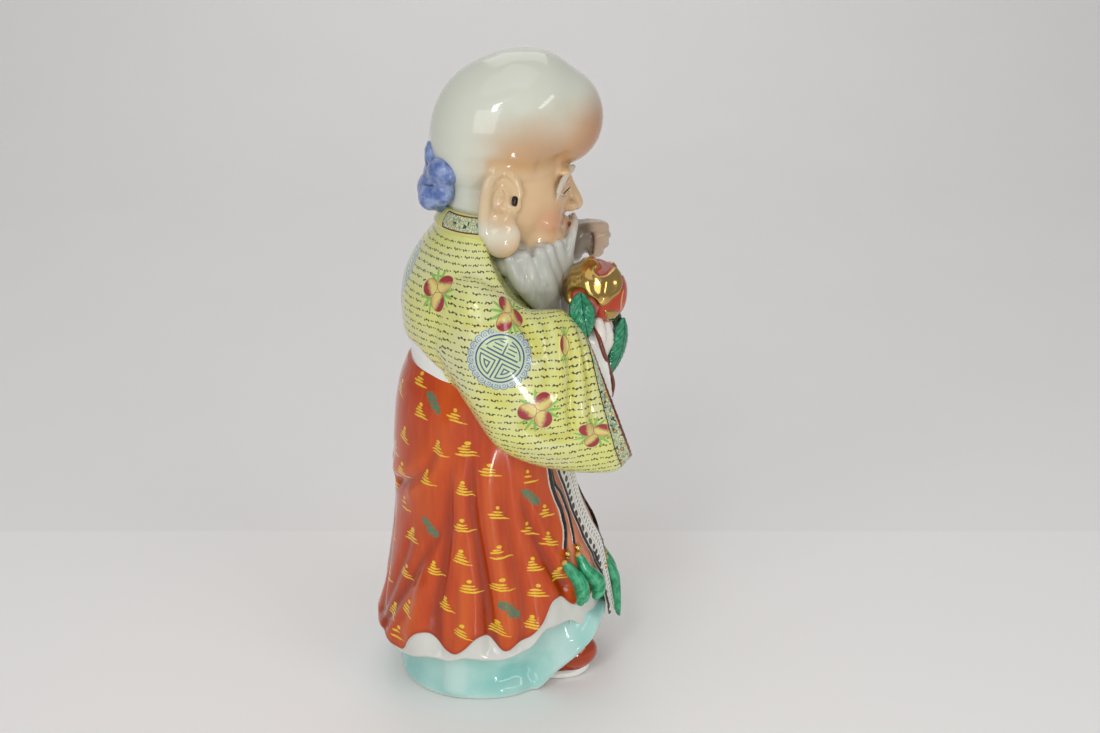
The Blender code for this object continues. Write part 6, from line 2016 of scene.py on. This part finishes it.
def make_left_hand():
    forms = [
        ellipsoid((46.0, -52.8, 260.0), (10.6, 10.4, 11.4), (0, 0, 0)),
        ellipsoid((46.5, -66.0, 260.5), (9.4, 7.6, 9.4), (12, 0, 0)),
        ellipsoid((46.0, -60.0, 265.5), (8.4, 10.5, 5.8), (0, 0, 0)),
        tube(smooth_path([(48.5, -30, 226), (48.5, -41, 240), (48, -49, 252)], 12), np.linspace(12, 9, 12), sides=32),
    ]
    lines = []
    rows = ((-69.0, 266.4), (-70.2, 261.4), (-69.2, 256.4), (-66.0, 251.6))
    for y, z in rows:
        path = smooth_path([(51.5, -60.0, z + 0.5), (51.0, y + 2.5, z), (46.0, y - 0.8, z - 0.3), (41.0, y + 2.6, z - 0.4), (39.5, -62.5, z)], 20)
        forms.append(tube(path, np.linspace(3.6, 3.2, 20), sides=18))
    for (y1, z1), (y2, z2) in zip(rows[:-1], rows[1:]):
        z, y = (z1 + z2) / 2, (y1 + y2) / 2
        lines.append((smooth_path([(53, -63, z), (51.5, y, z), (45.5, y - 4.5, z), (40.5, y - 1, z), (37.5, -66, z)], 16), 0.9, -0.5))
    forms.append(tube(smooth_path([(41.5, -55.0, 266), (38.6, -61.0, 268.0), (41.0, -67.5, 267.6)], 14), np.linspace(3.8, 3.2, 14), sides=18))
    lines += [
        (smooth_path([(37.5, -60.8, 266), (36.8, -61.5, 260), (37.5, -60.5, 250)], 12), 1.5, -1.9),
        (smooth_path([(56, -60.5, 268), (56.5, -60.0, 260), (55.5, -59, 250)], 12), 1.4, -1.4),
        (np.array([(37.0, -68.0, 264.6), (37.0, -68.4, 264.2), (37.0, -68.8, 263.8)]), 1.2, -1.0),
    ]
    verts, faces = fused("left_fist", forms, 0.7, 3)
    normals = normals_of(verts, faces)
    verts, moved = press(verts, normals, lines)
    verts = calmed(verts, faces, 1)
    piece("left_fist", verts, faces, hand_glaze(), fields={"groove": -moved})


# ================================================================ sash
CORDS = [  # angles at belt and bead, bead height, tassel height, tassel angle
    ([(223, 186), (224, 144.5), (224, 135.5), (226, 125), (228.5, 116), (227.5, 108.5), (222, 94)], 1.25),
    ([(225, 150), (227.5, 134), (232.5, 125.8), (235, 113.8), (232.5, 103.2), (230.5, 94)], 0.85),
    ([(230, 186), (232, 142.2), (236, 129.5), (238, 118.2), (238.5, 108.5), (238.5, 99.5), (241, 89), (248, 74), (251, 64.2), (251, 54.5), (253, 44)], 0.75),
]
BEADS = [(222.5, 90.5, 2.2), (231.5, 91.2, 2.3), (263.5, 74.0, 2.3), (258.5, 67.5, 1.6)]   # angle, height, radius
TASSELS = [  # middle line as angle, height, stand-off, radius
    [(218, 86.5, 1.6, 1.7), (219.5, 84, 2.0, 2.6), (222.5, 79, 2.6, 3.3), (226, 73, 3.2, 3.8), (227.5, 67.5, 3.6, 4.1), (227, 62.5, 3.8, 3.8), (225.5, 59.5, 3.6, 2.2)],
    [(230, 87, 1.8, 1.8), (230.8, 84, 2.2, 2.6), (232, 78, 3.0, 3.4), (235.5, 72.5, 4.0, 4.0), (238, 67.5, 4.6, 4.3), (237.5, 62.5, 4.8, 3.9), (235.5, 59.5, 4.4, 2.2)],
    [(263.5, 69.5, 3.2, 1.8), (264, 66, 3.8, 2.6), (265, 58, 5.2, 3.8), (266, 50, 6.2, 4.8), (266, 42, 6.8, 5.3), (265.5, 36, 6.8, 4.9), (265, 32, 6.4, 2.8)],
]
RIBBON = ([(243, 186), (243.5, 150), (244, 138), (246.5, 128), (248.5, 115), (248.5, 102), (251, 91), (255.5, 80), (257, 67), (258, 57), (259.5, 45), (261, 35)],
          [6.4, 6.8, 7.0, 7.2, 7.4, 7.6, 7.6, 6.6, 4.6, 4.2, 4.0, 3.8])


def tube_fields(path, radii, sides, flat=1.0, normal=None):
    rings = tube_rings(path, radii, sides, flat, normal)
    verts, faces = loft(rings)
    mids = rings.mean(1)
    along = np.concatenate([[0], np.cumsum(np.linalg.norm(np.diff(mids, axis=0), axis=1))])
    a = 2 * np.pi * np.arange(sides) / sides
    size = np.linalg.norm(rings - mids[:, None], axis=2).max(1)
    ends = lambda v: np.concatenate([v.ravel(), [v[0, 0], v[-1, 0]]])
    return (verts, faces), ends(np.repeat(along[:, None], sides, 1)), ends(np.tile(np.cos(a), (len(rings), 1))), \
        ends(np.tile(np.sin(a), (len(rings), 1))), ends(np.outer(size, np.cos(a)))


def both_sides(points):
    """The measured side and its mirror image, as angles round the skirt."""
    p = np.asarray(points, float)
    m = p.copy()
    m[:, 0] = 540.0 - m[:, 0]
    return (p, -1), (m, 1)


def make_sash():
    ribbon_forms, ra, rt, rh = [], [], [], []
    for p, side in both_sides(RIBBON[0]):
        s = np.arange(len(p), dtype=float)
        q = np.linspace(0, len(p) - 1, 110)
        deg, z, half = smooth_curve(s, p[:, 0], q), smooth_curve(s, p[:, 1], q), smooth_curve(s, RIBBON[1], q)
        path = on_skirt(deg, z, 1.5 + 0.4 * np.sin(0.9 * q))
        form, along, _, _, across = tube_fields(path, half, 36, 0.20, (0.62 * side, -0.78, 0))
        ribbon_forms.append(form)
        ra.append(along)
        rt.append(across * side)
        rh.append(np.interp(along, np.linspace(0, along.max(), 110), half))
    verts, faces = gather(ribbon_forms)
    piece("ribbons", verts, faces, ribbon_enamel(), fields={"along": np.concatenate(ra), "across": np.concatenate(rt), "half": np.concatenate(rh)})

    cords, ca, cc, cs = [], [], [], []
    for points, radius in CORDS:
        for p, side in both_sides(points):
            s = np.arange(len(p), dtype=float)
            q = np.linspace(0, len(p) - 1, 90)
            path = on_skirt(smooth_curve(s, p[:, 0], q), smooth_curve(s, p[:, 1], q), 0.35 if radius > 0.8 else 1.9)
            form, a, c, sn, _ = tube_fields(path, np.full(90, radius * 1.55), 20, 0.55, (0.8 * side, -0.6, 0))
            cords.append(form); ca.append(a); cc.append(c); cs.append(sn)
    verts, faces = gather(cords)
    piece("cords", verts, faces, cord_enamel(), fields={"along": np.concatenate(ca), "cosine": np.concatenate(cc), "sine": np.concatenate(cs)})

    beads = []
    for p, side in both_sides(BEADS):
        for deg, z, r in p:
            spot = on_skirt(deg, z, 1.4 if abs(deg - 270) > 20 else 3.0)
            beads.append(ellipsoid(spot, (r, r, r), n=28))
            beads.append(ellipsoid(spot - (0, 0, r + 0.5), (r * 0.62, r * 0.62, 0.9), n=20))
    verts, faces = gather(beads)
    piece("beads", verts, faces, gilding("bead_gilding"))

    tassels, ta, tc, ts = [], [], [], []
    for points in TASSELS:
        for p, side in both_sides(points):
            s = np.arange(len(p), dtype=float)
            q = np.linspace(0, len(p) - 1, 70)
            fall = on_skirt(smooth_curve(s, p[:, 0], q), smooth_curve(s, p[:, 1], q), smooth_curve(s, p[:, 2], q))
            rings = tube_rings(fall, smooth_curve(s, p[:, 3], q) * 1.14, 64)
            mids = rings.mean(1)
            dist = np.concatenate([[0], np.cumsum(np.linalg.norm(np.diff(mids, axis=0), axis=1))])
            ang = 2 * np.pi * np.arange(64) / 64
            groove = 1 + 0.016 * np.sin(5 * ang[None, :] + dist[:, None] * 0.06) * ease((dist[:, None] - 5) / 8)
            rings = mids[:, None] + (rings - mids[:, None]) * groove[..., None]
            rings[..., 1] = -75.2 + np.log1p(np.exp(1.5 * (rings[..., 1] + 75.2))) / 1.5
            tassels.append(loft(rings))
            ends = lambda v: np.concatenate([v.ravel(), [v[0, 0], v[-1, 0]]])
            ta.append(ends(np.repeat(dist[:, None], 64, 1)))
            tc.append(ends(np.tile(np.cos(ang), (len(rings), 1))))
            ts.append(ends(np.tile(np.sin(ang), (len(rings), 1))))
    verts, faces = gather(tassels)
    piece("tassels", verts, faces, tassel_enamel(), fields={"along": np.concatenate(ta), "cosine": np.concatenate(tc), "sine": np.concatenate(ts)})

    rings, s_at, h_at = [], [], []
    degs = np.linspace(205, 335, 150)
    for dz, out in ((-5.2, -6.0), (-5.3, -0.4), (-5.2, 0.4), (-4.6, 1.1), (-3.2, 1.6), (-1.5, 1.9), (0.0, 2.0), (1.5, 1.9), (3.2, 1.6), (4.6, 1.1), (5.2, 0.4), (5.3, -0.4), (5.2, -6.0)):
        rings.append(np.concatenate([on_skirt(degs, 190.0 + dz, out), on_skirt(degs[::-1], 190.0 + dz, -16.0)]))
        s_at.append(np.concatenate([(degs - 270) * 0.72, (degs[::-1] - 270) * 0.72]))
        h_at.append(np.full(300, dz))
    verts, faces = loft(rings)
    ends = lambda v: np.concatenate([np.array(v).ravel(), [v[0][0], v[-1][0]]])
    piece("belt", verts, faces, belt_enamel(), fields={"along": ends(s_at), "across": ends(h_at)})


# ================================================================ the figure
make_coat()
make_collar()
make_skirt()
make_underskirt()
make_underrobe()
make_shoes()
head_skin = make_head()
make_eyes(head_skin)
make_beard()
make_scarf()
make_peach()
make_leaves()
make_right_hand()
make_left_hand()
make_sash()


# ================================================================ setting
def stage_material(name, low, high, size, roughness):
    g = Glaze(name, roughness=roughness)
    x, y, z = g.xyz()
    tone = g.mix(g.noise(size, 3.0), low, high)
    away = x * 0.99452 + y * -0.10453
    tone = g.mix(away.rise(188.0, 184.5), tone, (247, 245, 243))
    tone = g.mix(g.noise(0.35, 2.0).rise(0.72, 0.80) * 0.10, tone, (120, 116, 110))
    g.base(tone)
    g.bump(g.noise(1.6, 4.0), 0.03, 0.4)
    return g.material


def make_stage():
    mesh = bpy.data.meshes.new("table")
    n = 32
    back_x, front_x, side = 2.6, -2.6, 3.0    # the sweep rises behind where any view's camera stands
    bend = 1.2
    profile = [(front_x, 0.0)] + [(back_x - bend, 0.0)]
    for k in range(1, n + 1):
        t = math.pi / 2 * k / n
        profile.append((back_x - bend + bend * math.sin(t), bend - bend * math.cos(t)))
    profile.append((back_x, 2.4))
    verts, faces = [], []
    for w in (-side, side):
        for u, z in profile:
            # u runs away from the camera, w across it
            fx, fy = 0.99452, -0.10453
            rx, ry = -0.10453, -0.99452
            verts.append((fx * u + rx * w, fy * u + ry * w, z))
    m = len(profile)
    for k in range(m - 1):
        faces.append((k, k + 1, m + k + 1, m + k))
    mesh.from_pydata(verts, [], faces)
    mesh.materials.append(stage_material("board", (241, 239, 237), (244, 242, 240), 180.0, 0.55))
    mesh.shade_smooth()
    obj = bpy.data.objects.new("board", mesh)
    scene.collection.objects.link(obj)


make_stage()


def softbox(name, place, target, width, height, power, tint):
    lamp = bpy.data.lights.new(name, "AREA")
    lamp.shape = "RECTANGLE"
    lamp.size, lamp.size_y = width, height
    lamp.energy = power
    lamp.color = tint
    obj = bpy.data.objects.new(name, lamp)
    obj.location = place
    obj.rotation_euler = (Vector(target) - Vector(place)).to_track_quat("-Z", "Y").to_euler()
    scene.collection.objects.link(obj)
    return obj


strip = softbox("window_front", (-0.95, -0.80, 0.74), (0, 0, 0.34), 1.00, 0.17, 2.6, (1.0, 0.98, 0.95))
strip.rotation_euler = (strip.rotation_euler.to_matrix() @ Matrix.Rotation(math.radians(38.0), 3, "Z")).to_euler()
softbox("window_back", (-1.15, 0.45, 1.25), (0, 0, 0.3), 0.20, 0.26, 2.2, (0.97, 0.98, 1.0))
softbox("fill", (-1.70, 1.05, 1.05), (0, 0, 0.15), 1.4, 1.1, 11.2, (1.0, 1.0, 1.0))
softbox("ceiling", (-0.3, 0.2, 1.9), (0, 0, 0.0), 1.3, 1.3, 3.4, (1.0, 0.99, 0.97))
softbox("far_wash", (1.7, -0.18, 1.9), (1.7, -0.18, 0.0), 2.0, 1.5, 9.0, (1.0, 0.99, 0.98))
softbox("low_card", (-0.56, -0.16, 0.065), (0, 0, 0.075), 0.035, 0.11, 0.34, (1.0, 0.99, 0.97))

world = bpy.data.worlds.new("soft_room")
world.use_nodes = True
world.node_tree.nodes["Background"].inputs["Color"].default_value = (0.86, 0.86, 0.88, 1.0)
world.node_tree.nodes["Background"].inputs["Strength"].default_value = 0.43
scene.world = world

lens = bpy.data.cameras.new("view")
lens.sensor_width = 36.0
lens.lens = 1500.0 / 1100.0 * 36.0
lens.clip_start = 0.01
viewer = bpy.data.objects.new("view", lens)
tilt = math.radians(18.8)
ahead = Vector((0.99452 * math.cos(tilt), -0.10453 * math.cos(tilt), -math.sin(tilt)))
right = Vector((-0.10453, -0.99452, 0.0))
above = right.cross(ahead)
viewer.matrix_world = Matrix((
    (right.x, above.x, -ahead.x, -0.8401),
    (right.y, above.y, -ahead.y, 0.0564),
    (right.z, above.z, -ahead.z, 0.4805),
    (0, 0, 0, 1)))
scene.collection.objects.link(viewer)
scene.camera = viewer
scene.view_settings.view_transform = "Standard"
